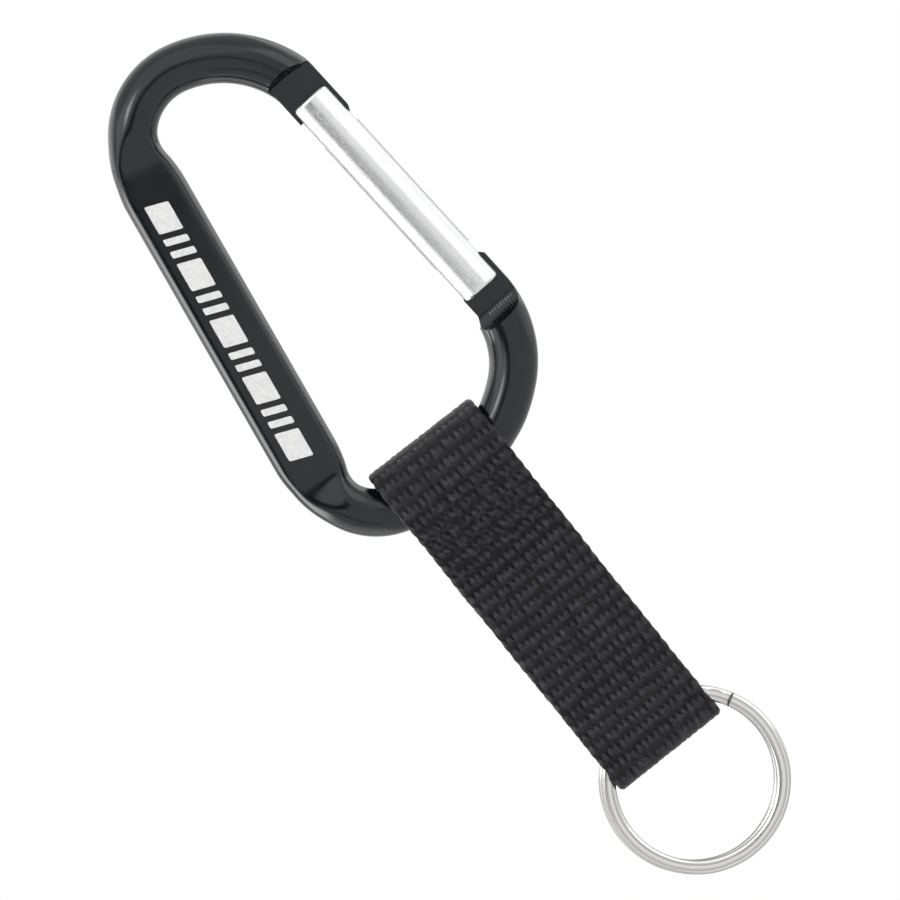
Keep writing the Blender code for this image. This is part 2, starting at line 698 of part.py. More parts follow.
def main():
    for old in list(bpy.data.objects):
        bpy.data.objects.remove(old, do_unlink=True)
    hang = (HANG_X, 0.0, HANG_Z)
    build_body(hang)
    build_gate((PIVOT_X, 0.0, PIVOT_Z))
    build_spring()
    centre, _ = loop_geometry()
    build_strap((0.0, 0.0, centre))
    build_ring_loop()
    build_split_ring()


main()
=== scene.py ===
import math

import bmesh
import bpy
import numpy as np
from mathutils import Matrix, Vector


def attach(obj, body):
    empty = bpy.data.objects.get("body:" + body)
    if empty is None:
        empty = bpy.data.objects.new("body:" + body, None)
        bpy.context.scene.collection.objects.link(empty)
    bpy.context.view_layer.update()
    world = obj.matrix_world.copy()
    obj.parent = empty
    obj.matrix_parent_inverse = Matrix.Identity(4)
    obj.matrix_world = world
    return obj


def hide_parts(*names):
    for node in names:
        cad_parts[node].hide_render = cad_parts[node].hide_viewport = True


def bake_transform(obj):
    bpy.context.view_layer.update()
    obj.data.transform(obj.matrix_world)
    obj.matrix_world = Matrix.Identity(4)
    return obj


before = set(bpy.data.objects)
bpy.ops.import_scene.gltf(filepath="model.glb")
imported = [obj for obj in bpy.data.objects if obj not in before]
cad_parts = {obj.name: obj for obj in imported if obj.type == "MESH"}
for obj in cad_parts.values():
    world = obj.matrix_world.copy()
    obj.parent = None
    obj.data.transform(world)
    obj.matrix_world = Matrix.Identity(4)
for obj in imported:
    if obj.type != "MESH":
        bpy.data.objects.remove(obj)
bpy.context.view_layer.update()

MM = 0.001

# All lengths below are millimetres in the design frame: X across, Y front (-) to back (+), Z up,
# with the strap's centre line at X = 0. row() moves them to the CAD frame.

# Gate line.
PIVOT_X = 21.2
PIVOT_Z = 13.6
GATE_LEAN = math.radians(3.3)
ALONG = (-math.sin(GATE_LEAN), math.cos(GATE_LEAN))
ACROSS = (math.cos(GATE_LEAN), math.sin(GATE_LEAN))

# Carabiner centre line.
NOSE_ARC = (2.15, 48.6, 17.4)
NOSE_ARC_START = math.radians(16.0)
NOSE_ARC_END = math.radians(75.0)
HOOK_ARC_R = 10.8
CORNER_ARC = (-5.7, 3.25, 9.7)
CORNER_ARC_END = math.radians(248.2)
BASKET_ARC_R = 24.9
BASKET_ARC_END = math.radians(310.0)
NOSE_END = 29.9
NOSE_STRAIGHT_END = 38.9
PIVOT_END = 3.0
RING_STEP = 0.45

# Rod section: radii, the pressed spine, and how far past the spine's ends each change runs.
ROD_NOSE = 3.76
ROD_HOOK = 3.65
ROD_BASKET = 3.57
ROD_PIVOT = 3.86
NOSE_TAPER = (6.0, 26.0)
PIVOT_TAPER = 14.0
SWELL_START = math.radians(290.0)
SWELL_RISE = 4.3
SWELL_STOP = 2.0
SWELL_OUTER = 0.2
SWELL_INNER = 0.1
SPINE_HALF_WIDTH = 5.0
SPINE_HALF_THICK = 2.45
SPINE_CURVE_R = 3.95
SPINE_CORNER_X = 3.92
WIDEN_OUTER = (-4.0, 5.5)
WIDEN_INNER = (-4.0, 7.0)
CURVE_CHANGE = (-2.0, 4.0)
RUN_OUT_SLOPE = 0.235
RUN_OUT_START = 0.9
RUN_OUT_SOFT = 0.5
EDGE_POWER = 30.0
CORNER_SPREAD = (0.8, 2.2, 3.7, 5.4, 7.6)
SECTION_POINTS = 72

# Tongues: where each milled flat ends, how far its run-out reaches, and the outlines of its sides.
TONGUE_HALF = 1.0
TONGUE_HOLE_R = 1.06
NOSE_FLAT = (40.2, 41.45)
PIVOT_FLAT = (-4.7, -7.7)
RUN_OUT_TOP = ROD_PIVOT + 0.3
RIDGE_MIDDLE = 0.3
RIDGE_HALF = 2.5
RIDGES = ((0.045, 0.52), (0.015, 0.83))
SCALLOP_MIDDLE = -1.2
SCALLOP_HALF = 3.8
NOSE_OUTER = ((3.7, 39.0), (4.1, 39.8), (4.45, 40.5))
NOSE_INNER = ((-3.6, 38.6), (-3.9, 39.7), (-4.35, 40.5))
PIVOT_OUTER = ((3.86, -6.0), (4.2, -6.5), (4.61, -6.9))
PIVOT_INNER = ((-3.3, -4.7), (-3.7, -5.5), (-4.05, -6.1))
LIP_MOUTH = -0.3
LIP_HOOK = ((-0.5, 30.0), (-1.3, 30.4), (-1.75, 31.05), (-1.6, 31.7))
LIP_TOE = ((1.9, 29.9), (2.5, 30.02), (2.95, 30.25), (3.3, 30.65), (3.55, 31.15), (3.8, 31.9))
CAM_HEEL = ((-1.2, 3.0), (-1.75, 2.5), (-2.2, 1.9), (-2.75, 0.6), (-2.95, -0.9), (-3.4, -1.75))
CAM_TOE = ((2.4, 3.0), (2.85, 2.75), (3.2, 2.35), (3.6, 1.9), (3.96, 1.5))
NOTCH_R = 1.15
ARC_STEPS = 16
SLICE_REACH = 6.0
SLICES_RIDGED = 241
SLICES_PLAIN = 49
CUTTER_PAST = 1.0
REACH = 9.0

# Gate.
GATE_R = 3.3
GATE_BOTTOM = -2.25
GATE_TOP = 36.05
GATE_ROUND = 0.6
GATE_SIDES = 96
GATE_RINGS = 24
ROUND_STEPS = 8
SLOT_HALF = 1.12
PIVOT_SLOT_TOP = 4.6
LATCH_SLOT_BOTTOM = 28.9
BORE = ((1.55, GATE_BOTTOM - CUTTER_PAST), (1.55, 22.2), (0.25, 23.0))
GATE_HOLE_R = 1.008
HOLE_SIDES = 48
LATCH_A = 32.65
PIN_R = 1.0
PIN_SHARES = (0.12, 0.35, 0.6, 0.8, 0.92, 0.97)
PIN_FLUSH = 0.006
PIN_EDGE = 0.05
PIN_DEPTH = 0.6

# Webbing.
WEB_T = 1.35
HALF_GAP = 0.1
LOOP_Z = -6.4208
LOOP_R = 4.986 + 0.5 * WEB_T
FLAT_TOP = -23.0
TUCKED_END = -20.0
FLAP_END = -33.8
POCKET_HALF = 1.5
POCKET_CORNER = 0.9
POCKET_FLOOR = -57.985
PATH_STEP = 0.05
PATH_SMOOTH = 24
WEB_STEP = 0.2
WEB_EDGE = 0.75
CORE_COLUMNS = 107
UNDER_COLUMNS = 9
LEFT_REACH = 9.62
RIGHT_REACH = 9.72
RIGHT_NARROWS = 0.38
SCALLOP = 0.17
SELVAGE_WAVE = 0.05
PINCH = 0.35
PINCH_HALF = 0.7
TUCK_THIN = 0.25
TUCK_ZONE = (12.6, 14.4)
END_TAPER = 0.55
UNDER_DIP = 0.06
FOLD_SAG = 0.68
FOLD_ZONE = (-9.0, -2.0)
ROW_PITCH = 2.05
COLUMN_PITCH = 1.06
COLUMN_LEAN = 0.37
CROWN_AT = (-0.12, 0.0, 0.1, 0.28, 0.44, 0.6, 0.76, 0.92, 1.05, 1.17)
CROWN_HEIGHT = (0.0, 0.2, 0.36, 0.46, 0.62, 0.88, 1.0, 0.96, 0.75, 0.3)
TOOTH_AT = (0.0, 0.3, 0.45, 0.6, 0.78, 0.92, 1.03, 1.12, 1.2)
TOOTH_HALF = (0.6, 0.6, 0.56, 0.52, 0.49, 0.42, 0.32, 0.2, 0.02)
TOOTH_GROOVE = (0.1, 0.14, 0.24, 0.42, 0.56, 0.6, 0.6, 0.5, 0.5)
WEAVE_DEPTH = 0.50

# Where the front of the webbing is rucked, as distances below the strap's top.
RUCK_START = (8.0, 11.0)
RUCK_END = (17.5, 21.0)
SLANT_START = (7.0, 11.0)
TANGLE_START = (8.0, 11.5)
TANGLE_END = (18.0, 23.0)

# Stitching.
STITCH_ROWS = (("upper", -27.2), ("lower", -31.9))
STITCH_LEGS = 20
STITCH_HALF_WIDTH = 8.0
STITCH_HALF_HEIGHT = 1.0
STITCH_ARCH = 0.34
STITCH_SUNK = 0.12
STITCH_STEPS = 9
THREAD_R = 0.19
THREAD_SIDES = 8

# Split ring.
RING_Z = -64.75
RING_MID_R = 12.95
RING_HALF_W = 1.07
RING_STEPS = 340
RING_SIDES = 36
RING_CUT = math.radians(29.0)
RING_LAP = math.radians(15.0)
RING_GAP = math.radians(2.5)
COIL_T = 1.15
COIL_GAP = 0.1
COIL_POWER = 2.0 / 2.7
COIL_THIN = 0.26
COIL_INSET = 0.05
COIL_SHIFT = (-0.34, 0.27)
COIL_SETTLE = 2.2
END_ROUND = 0.22
END_MARKS = (0.05, 0.12, 0.22, 0.4)

# Print on the spine.
BAR_WIDTHS = (4.6, 1.1, 1.1) * 4 + (4.6,)
BAR_SPACE = 0.95
BAR_START = 3.6
BAR_SIDES = (-1.15, 2.45)
BAR_LEAN = 0.9
BAR_ROUND = 0.28
INK_PROUD = 0.012
INK_SUNK = 0.03


def gate_point(b, a):
    """X and Z of a point b across and a along the gate's line, from the pivot."""
    return (PIVOT_X + a * ALONG[0] + b * ACROSS[0], PIVOT_Z + a * ALONG[1] + b * ACROSS[1])


def centre_line():
    """The arcs that join the given ones: centre and radius of hook, basket and pivot, and spine angle."""
    nx, nz, nr = NOSE_ARC
    cx, cz, cr = CORNER_ARC
    hook_x = nx + (nr - HOOK_ARC_R) * math.cos(NOSE_ARC_END)
    hook_z = nz + (nr - HOOK_ARC_R) * math.sin(NOSE_ARC_END)
    dx = hook_x - cx
    dz = hook_z - cz
    spine = math.atan2(dz, dx) + math.acos((cr - HOOK_ARC_R) / math.hypot(dx, dz))
    basket_x = cx - (BASKET_ARC_R - cr) * math.cos(CORNER_ARC_END)
    basket_z = cz - (BASKET_ARC_R - cr) * math.sin(CORNER_ARC_END)
    ux = math.cos(BASKET_ARC_END)
    uz = math.sin(BASKET_ARC_END)
    lean = ACROSS[0] * ux + ACROSS[1] * uz
    offset = ACROSS[0] * PIVOT_X + ACROSS[1] * PIVOT_Z
    base = ACROSS[0] * basket_x + ACROSS[1] * basket_z
    pivot_r = (offset - base - BASKET_ARC_R * lean) / (1.0 - lean)
    return {
        "hook": (hook_x, hook_z, HOOK_ARC_R),
        "basket": (basket_x, basket_z, BASKET_ARC_R),
        "pivot": (
            basket_x + (BASKET_ARC_R - pivot_r) * ux,
            basket_z + (BASKET_ARC_R - pivot_r) * uz,
            pivot_r,
        ),
        "spine": spine,
    }


LINE = centre_line()
HANG = np.array([LINE["hook"][0], 0.0, LINE["hook"][1] + HOOK_ARC_R - ROD_HOOK])


def row(points):
    """Design frame millimetres to the CAD frame's metres."""
    return (np.asarray(points, float) - HANG) * MM


def ramp(value, start, end):
    """Smooth step from 0 at the start to 1 at the end."""
    t = np.clip((np.asarray(value, float) - start) / (end - start), 0.0, 1.0)
    return t * t * (3.0 - 2.0 * t)


# ---- mesh helpers

def make_mesh(name, verts, faces, mats, smooth=True):
    """One mesh object from design-frame points."""
    mesh = bpy.data.meshes.new(name)
    mesh.from_pydata(row(verts).tolist(), [], faces)
    work = bmesh.new()
    work.from_mesh(mesh)
    bmesh.ops.recalc_face_normals(work, faces=work.faces)
    work.to_mesh(mesh)
    work.free()
    mesh.polygons.foreach_set("use_smooth", [smooth] * len(mesh.polygons))
    obj = bpy.data.objects.new(name, mesh)
    bpy.context.scene.collection.objects.link(obj)
    for mat in mats:
        mesh.materials.append(mat)
    return obj


def grid_faces(rings, size):
    """Quads joining consecutive closed rings of points, with flat caps at both ends."""
    i = np.arange(rings - 1)[:, None] * size
    j = np.arange(size)[None, :]
    k = (j + 1) % size
    quads = np.stack([i + j, i + k, i + size + k, i + size + j], axis=-1).reshape(-1, 4)
    faces = quads.tolist()
    faces.append(list(range(size)))
    faces.append(list(range((rings - 1) * size, rings * size)))
    return faces


def prism(name, outline, place):
    """A cutter with this outline that reaches right through the rod."""
    verts = [place(p, q, end) for end in (-REACH, REACH) for p, q in outline]
    return make_mesh(name, verts, grid_faces(2, len(outline)), [], smooth=False)


def lathe(name, profile, sides, place, mats=(), turn=0.5):
    """A turned piece from (radius, height) pairs; turn is its start, as a share of one side."""
    verts = []
    for radius, along in profile:
        for i in range(sides):
            angle = 2.0 * math.pi * (i + turn) / sides
            verts.append(place(radius * math.cos(angle), radius * math.sin(angle), along))
    return make_mesh(name, verts, grid_faces(len(profile), sides), mats)


def carve(target, cutters, sharp_deg):
    """Cut each cutter out of the target, then mark the sharp edges that are left."""
    for cutter in cutters:
        mod = target.modifiers.new(cutter.name, "BOOLEAN")
        mod.operation = "DIFFERENCE"
        mod.solver = "EXACT"
        mod.object = cutter
    graph = bpy.context.evaluated_depsgraph_get()
    graph.update()
    solid = bpy.data.meshes.new_from_object(target.evaluated_get(graph))
    target.modifiers.clear()
    old = target.data
    target.data = solid
    bpy.data.meshes.remove(old)
    for cutter in cutters:
        bpy.data.objects.remove(cutter, do_unlink=True)
    solid.polygons.foreach_set("use_smooth", [True] * len(solid.polygons))
    solid.set_sharp_from_angle(angle=math.radians(sharp_deg))


def point_values(obj, name, values):
    """Store one number per mesh point for a material to read."""
    layer = obj.data.attributes.new(name, "FLOAT", "POINT")
    layer.data.foreach_set("value", values.astype(np.float32))


def gate_plane(b, a, y):
    """For outlines drawn across and along the gate, seen from the front."""
    x, z = gate_point(b, a)
    return (x, y, z)


def gate_side(y, a, b):
    """For outlines drawn in depth and along the gate, seen from the side."""
    return gate_plane(b, a, y)


def gate_axis(b, y, a):
    """For turned shapes on the gate's own axis."""
    return gate_plane(b, a, y)


def pin_axis(a0):
    """For turned shapes on a pin's axis, front to back, at height a0 on the gate."""
    def place(u, v, w):
        x, z = gate_point(u, a0 + v)
        return (x, w, z)
    return place


# ---- materials

def set_inputs(node, values):
    """Set a node's inputs by name; an underscore stands for a space."""
    for name, value in values.items():
        node.inputs[name.replace("_", " ")].default_value = value


def new_material(name, colour, metallic, roughness, **more):
    mat = bpy.data.materials.new(name)
    mat.use_nodes = True
    shader = mat.node_tree.nodes["Principled BSDF"]
    base = {"Base_Color": (*colour, 1.0), "Metallic": metallic, "Roughness": roughness}
    set_inputs(shader, {**base, **more})
    return mat, mat.node_tree, shader


def add_node(tree, kind, **values):
    """A shader node with these inputs (capital letter) and settings (small letter)."""
    node = tree.nodes.new("ShaderNode" + kind)
    set_inputs(node, {name: value for name, value in values.items() if name[0].isupper()})
    for name, value in values.items():
        if name[0].islower():
            setattr(node, name, value)
    return node


def noise(tree, coords, scale, detail=3.0, rough=0.5, stretch=None):
    """Cloudy 0 to 1 values, stretched along the gate where a stretch is given."""
    node = add_node(tree, "TexNoise", Scale=scale, Detail=detail, Roughness=rough)
    if stretch is not None:
        mapping = add_node(tree, "Mapping", Scale=stretch, Rotation=(0.0, GATE_LEAN, 0.0))
        tree.links.new(coords, mapping.inputs["Vector"])
        coords = mapping.outputs["Vector"]
    tree.links.new(coords, node.inputs["Vector"])
    return node.outputs["Fac"]


def spread(tree, source, low, high, in_low=0.3, in_high=0.7):
    """Map a 0 to 1 value onto a range."""
    node = add_node(tree, "MapRange", From_Min=in_low, From_Max=in_high, To_Min=low, To_Max=high)
    tree.links.new(source, node.inputs["Value"])
    return node.outputs["Result"]


def tint(tree, source, dark, light, in_low=0.3, in_high=0.7):
    """Map a 0 to 1 value onto two colours."""
    node = add_node(tree, "ValToRGB")
    for stop, place, colour in zip(node.color_ramp.elements, (in_low, in_high), (dark, light)):
        stop.position = place
        stop.color = (*colour, 1.0)
    tree.links.new(source, node.inputs["Fac"])
    return node.outputs["Color"]


def bump(tree, height, shader, strength, distance):
    """Fine relief on a shader; the distance is in metres."""
    node = add_node(tree, "Bump", Strength=strength, Distance=distance)
    tree.links.new(height, node.inputs["Height"])
    tree.links.new(node.outputs["Normal"], shader.inputs["Normal"])


def scaled(tree, colour, factor):
    """A colour times a factor, both from other nodes."""
    node = add_node(tree, "VectorMath", operation="SCALE")
    tree.links.new(colour, node.inputs[0])
    tree.links.new(factor, node.inputs["Scale"])
    return node.outputs["Vector"]


def multiply_add(tree, value, factor, extra):
    node = add_node(tree, "Math", operation="MULTIPLY_ADD")
    tree.links.new(value, node.inputs[0])
    node.inputs[1].default_value = factor
    tree.links.new(extra, node.inputs[2])
    return node.outputs["Value"]


def shade_flanks(tree, colour, darkest):
    """Painted shade: a colour that falls to a share of itself where the mesh's flank value is 1."""
    flank = add_node(tree, "Attribute", attribute_name="flank")
    return scaled(tree, colour, spread(tree, flank.outputs["Fac"], 1.0, darkest, 0.0, 1.0))


def object_coords(tree):
    return add_node(tree, "TexCoord").outputs["Object"]


def finish(tree, shader, colour, rough):
    tree.links.new(colour, shader.inputs["Base Color"])
    tree.links.new(rough, shader.inputs["Roughness"])


def anodised_material():
    mat, tree, shader = new_material("black_anodised_skin", (0.0025, 0.0045, 0.0062), 0.0, 0.16, IOR=1.54)
    coords = object_coords(tree)
    cloud = noise(tree, coords, 220.0, 4.0)
    grain = noise(tree, coords, 5200.0, 2.0)
    colour = tint(tree, cloud, (0.0016, 0.0034, 0.0048), (0.0032, 0.0056, 0.0076))
    finish(tree, shader, colour, spread(tree, cloud, 0.13, 0.19))
    bump(tree, grain, shader, 0.12, 0.00004)
    return mat


def aluminium_material(name, colour, low, high, stretch):
    mat, tree, shader = new_material(name, colour, 1.0, low, Specular_Tint=(0.72, 0.72, 0.73, 1.0))
    coords = object_coords(tree)
    streak = noise(tree, coords, 2600.0, 4.0, 0.6, stretch)
    cloud = noise(tree, coords, 160.0, 3.0)
    dimmer = tuple(0.93 * c for c in colour)
    # Painted reflection: where a mesh carries a flank value, as the gate sleeve does, the colour darkens.
    flank_shaded = shade_flanks(tree, tint(tree, cloud, dimmer, colour), 0.0)
    finish(tree, shader, flank_shaded, spread(tree, streak, low, high))
    bump(tree, streak, shader, 0.1, 0.00004)
    return mat


def webbing_material():
    mat, tree, shader = new_material("black_webbing_yarn", (0.012, 0.0125, 0.0145), 0.0, 0.55,
                                     Specular_IOR_Level=0.3, Sheen_Weight=0.12, Sheen_Roughness=0.3)
    uv = add_node(tree, "UVMap", uv_map="weave")
    strands = add_node(tree, "TexWave", wave_type="BANDS", bands_direction="X",
                       Scale=1.3, Distortion=3.0, Detail=2.0, Detail_Scale=1.6)
    mapping = add_node(tree, "Mapping", Rotation=(0.0, 0.0, math.radians(9.0)), Scale=(1.0, 0.35, 1.0))
    tree.links.new(uv.outputs["UV"], mapping.inputs["Vector"])
    tree.links.new(mapping.outputs["Vector"], strands.inputs["Vector"])
    patch = noise(tree, uv.outputs["UV"], 0.8, 7.0, 0.72)
    fuzz = noise(tree, uv.outputs["UV"], 4.0, 4.0, 0.7)
    # Painted shade: the colour falls to near black where the crown value is low, in the grooves between the
    # yarns.
    crown = add_node(tree, "Attribute", attribute_name="crown")
    base = tint(tree, patch, (0.0105, 0.0100, 0.0150), (0.0325, 0.0325, 0.0410), 0.38, 0.64)
    mix = add_node(tree, "Mix", data_type="RGBA")
    mix.inputs[6].default_value = (0.0008, 0.0008, 0.001, 1.0)
    tree.links.new(spread(tree, crown.outputs["Fac"], 0.0, 1.0, 0.34, 0.98), mix.inputs["Factor"])
    fibre = scaled(tree, base, spread(tree, fuzz, 0.5, 1.7, 0.34, 0.66))
    tree.links.new(fibre, mix.inputs[7])
    finish(tree, shader, mix.outputs[2], spread(tree, fuzz, 0.46, 0.66))
    pile = multiply_add(tree, fuzz, 2.2, strands.outputs["Fac"])
    bump(tree, pile, shader, 0.5, 0.00008)
    return mat


def thread_material():
    mat, tree, shader = new_material("black_thread", (0.008, 0.008, 0.009), 0.0, 0.5)
    twist = noise(tree, object_coords(tree), 3000.0, 2.0)
    colour = tint(tree, twist, (0.005, 0.005, 0.006), (0.014, 0.014, 0.016))
    tree.links.new(colour, shader.inputs["Base Color"])
    bump(tree, twist, shader, 0.3, 0.00005)
    return mat


def nickel_material():
    """Nickel plate over drawn wire: fine die lines follow the coils."""
    tone = (0.62, 0.61, 0.60, 1.0)
    mat, tree, shader = new_material("bright_nickel", (0.82, 0.80, 0.77), 1.0, 0.2, Specular_Tint=tone)
    coords = object_coords(tree)
    cloud = noise(tree, coords, 90.0, 3.0)
    scratch = noise(tree, coords, 1400.0, 5.0, 0.7)
    centre = add_node(tree, "VectorMath", operation="SUBTRACT")
    tree.links.new(coords, centre.inputs[0])
    centre.inputs[1].default_value = tuple(row((0.0, 0.0, RING_Z)))
    radius = add_node(tree, "VectorMath", operation="LENGTH")
    tree.links.new(centre.outputs["Vector"], radius.inputs[0])
    wander = multiply_add(tree, cloud, 0.0006, radius.outputs["Value"])
    lines = add_node(tree, "TexNoise", noise_dimensions="1D", Scale=2600.0, Detail=4.0)
    tree.links.new(wander, lines.inputs["W"])
    colour = tint(tree, lines.outputs["Fac"], (0.56, 0.55, 0.525), (0.97, 0.96, 0.94), 0.34, 0.66)
    # Painted shade: the coils' flanks darken through the flank value.
    finish(tree, shader, shade_flanks(tree, colour, 0.24), spread(tree, scratch, 0.17, 0.27))
    bump(tree, lines.outputs["Fac"], shader, 0.5, 0.00004)
    return mat


def ink_material():
    mat, tree, shader = new_material("grey_print_ink", (0.56, 0.56, 0.55), 0.0, 0.42)
    speck = noise(tree, object_coords(tree), 2600.0, 3.0)
    colour = tint(tree, speck, (0.50, 0.50, 0.49), (0.62, 0.62, 0.61))
    tree.links.new(colour, shader.inputs["Base Color"])
    return mat


def steel_material(name, colour, roughness):
    mat, tree, shader = new_material(name, colour, 1.0, roughness)
    scratch = noise(tree, object_coords(tree), 1800.0, 4.0)
    dimmer = tuple(0.86 * c for c in colour)
    rough = spread(tree, scratch, roughness - 0.05, roughness + 0.08)
    finish(tree, shader, tint(tree, scratch, dimmer, colour), rough)
    return mat


# ---- carabiner body

def rod_path():
    """Evenly spaced points along the rod, with outward normals, and the marks between its parts."""
    parts = []

    def straight(p, q, n0, n1):
        parts.append((math.dist(p, q), lambda t: (
            p[0] + (q[0] - p[0]) * t, p[1] + (q[1] - p[1]) * t, n0 + (n1 - n0) * t)))

    def arc(c, start, end):
        parts.append((abs(end - start) * c[2], lambda t: (
            c[0] + c[2] * math.cos(start + (end - start) * t),
            c[1] + c[2] * math.sin(start + (end - start) * t),
            start + (end - start) * t)))

    def on(c, angle):
        return (c[0] + c[2] * math.cos(angle), c[1] + c[2] * math.sin(angle))

    spine = LINE["spine"]
    straight(gate_point(0.0, NOSE_END), gate_point(0.0, NOSE_STRAIGHT_END), GATE_LEAN, GATE_LEAN)
    straight(gate_point(0.0, NOSE_STRAIGHT_END), on(NOSE_ARC, NOSE_ARC_START), GATE_LEAN, NOSE_ARC_START)
    arc(NOSE_ARC, NOSE_ARC_START, NOSE_ARC_END)
    arc(LINE["hook"], NOSE_ARC_END, spine)
    straight(on(LINE["hook"], spine), on(CORNER_ARC, spine), spine, spine)
    arc(CORNER_ARC, spine, CORNER_ARC_END)
    arc(LINE["basket"], CORNER_ARC_END, BASKET_ARC_END)
    arc(LINE["pivot"], BASKET_ARC_END, 2.0 * math.pi + GATE_LEAN)
    straight(gate_point(0.0, 0.0), gate_point(0.0, PIVOT_END), GATE_LEAN, GATE_LEAN)
    marks = np.cumsum([0.0] + [length for length, _ in parts])
    points = []
    for (length, at), start in zip(parts, marks):
        count = max(2, int(round(length / RING_STEP)))
        for i in range(count):
            x, z, angle = at(i / count)
            points.append((x, z, angle, start + length * i / count))
    x, z, angle = parts[-1][1](1.0)
    points.append((x, z, angle, marks[-1]))
    return np.array(points), marks


def section_angles():
    """Directions round the rod section, closer together where the pressed flat ends."""
    base = list(np.linspace(0.0, 2.0 * math.pi, SECTION_POINTS + 1)[:-1])
    corner = math.atan2(SPINE_HALF_THICK, SPINE_CORNER_X)
    for middle in (corner, math.pi - corner, math.pi + corner, 2.0 * math.pi - corner):
        for side in (-1.0, 1.0):
            base += [middle + side * math.radians(d) for d in CORNER_SPREAD]
    angles = np.sort(np.array(base))
    keep = np.concatenate([[True], np.diff(angles) > math.radians(0.6)])
    return angles[keep]


def build_body(mat):
    path, marks = rod_path()
    travel = path[:, 3]
    s_nose, s_top, s_bottom, s_end = marks[2], marks[4], marks[5], marks[8]
    rod = ROD_NOSE + (ROD_HOOK - ROD_NOSE) * ramp(travel - s_nose, *NOSE_TAPER)
    late = ROD_BASKET + (ROD_PIVOT - ROD_BASKET) * ramp(travel, s_end - PIVOT_TAPER, s_end)
    rod = np.where(travel > 0.5 * (s_top + s_bottom), late, rod)
    past = np.maximum(s_top - travel, travel - s_bottom)
    wide_out = rod + (SPINE_HALF_WIDTH - rod) * (1.0 - ramp(past, *WIDEN_OUTER))
    wide_in = rod + (SPINE_HALF_WIDTH - rod) * (1.0 - ramp(past, *WIDEN_INNER))
    s_swell = marks[6] + (SWELL_START - CORNER_ARC_END) * BASKET_ARC_R
    swell = ramp(travel, s_swell, s_swell + SWELL_RISE)
    swell = swell * (1.0 - ramp(travel, s_end - PIVOT_TAPER, s_end - SWELL_STOP))
    wide_out = wide_out + SWELL_OUTER * swell
    wide_in = wide_in - SWELL_INNER * swell
    curve = rod + (SPINE_CURVE_R - rod) * (1.0 - ramp(past, *CURVE_CHANGE))
    over = past - RUN_OUT_START
    soft = 0.5 * (over + np.sqrt(over * over + RUN_OUT_SOFT))
    depth = SPINE_HALF_THICK + RUN_OUT_SLOPE * soft
    angles = section_angles()
    cos = np.cos(angles)[None, :]
    sin = np.sin(angles)[None, :]
    width = np.where(cos > 0.0, wide_out[:, None], wide_in[:, None])
    round_r = 1.0 / np.sqrt((cos / width) ** 2 + (sin / curve[:, None]) ** 2)
    flat_r = depth[:, None] / np.maximum(np.abs(sin), 1e-6)
    radius = (round_r ** -EDGE_POWER + flat_r ** -EDGE_POWER) ** (-1.0 / EDGE_POWER)
    u = radius * cos
    v = radius * sin
    normal = path[:, 2]
    x = path[:, 0][:, None] + u * np.cos(normal)[:, None]
    z = path[:, 1][:, None] + u * np.sin(normal)[:, None]
    verts = np.stack([x, v, z], axis=-1).reshape(-1, 3)
    body = make_mesh("carabiner_frame", verts, grid_faces(len(path), len(angles)), [mat])
    carve(body, tongue_cutters(), 32.0)
    return body


def run_out(flat, step, far, side, ridged):
    """A milled flat with its curved run-out, sliced across so that fine tool ridges can be set in it."""
    profile = [(TONGUE_HALF, far, 0.0), (TONGUE_HALF, flat, 0.0)]
    for i in range(1, ARC_STEPS + 1):
        angle = 0.5 * math.pi * i / ARC_STEPS
        depth = TONGUE_HALF + (RUN_OUT_TOP - TONGUE_HALF) * (1.0 - math.cos(angle))
        profile.append((depth, flat + (step - flat) * math.sin(angle), math.sin(angle) ** 0.5))
    profile.append((REACH, step, 0.0))
    profile.append((REACH, far, 0.0))
    slices = np.linspace(-SLICE_REACH, SLICE_REACH, SLICES_RIDGED if ridged else SLICES_PLAIN)
    verts = []
    for b in slices:
        wave = 0.0
        reach = 1.0
        if ridged:
            off = abs(b - RIDGE_MIDDLE) / RIDGE_HALF
            if off < 1.0:
                (high, pitch), (low, beat) = RIDGES
                wave = high * math.cos(2.0 * math.pi * b / pitch) + low * math.sin(2.0 * math.pi * b / beat)
                wave *= 1.0 - off ** 4
        else:
            reach = max(0.05, 1.0 - ((b - SCALLOP_MIDDLE) / SCALLOP_HALF) ** 2) ** 0.5
        for depth, along, share in profile:
            if not ridged and along > flat:
                along = flat + (along - flat) * reach
            verts.append(gate_side((depth + wave * share) * side, along, b))
    faces = grid_faces(len(slices), len(profile))
    return make_mesh("cut_run_out", verts, faces, [], smooth=False)


def side_cutter(edge, far, profile):
    """Cuts everything outside an edge, from far to the profile that ends the cut."""
    reach = math.copysign(REACH, profile[-1][0])
    outline = [(edge, far), *profile, (reach, profile[-1][1]), (reach, far)]
    return prism("cut_side", outline, gate_plane)


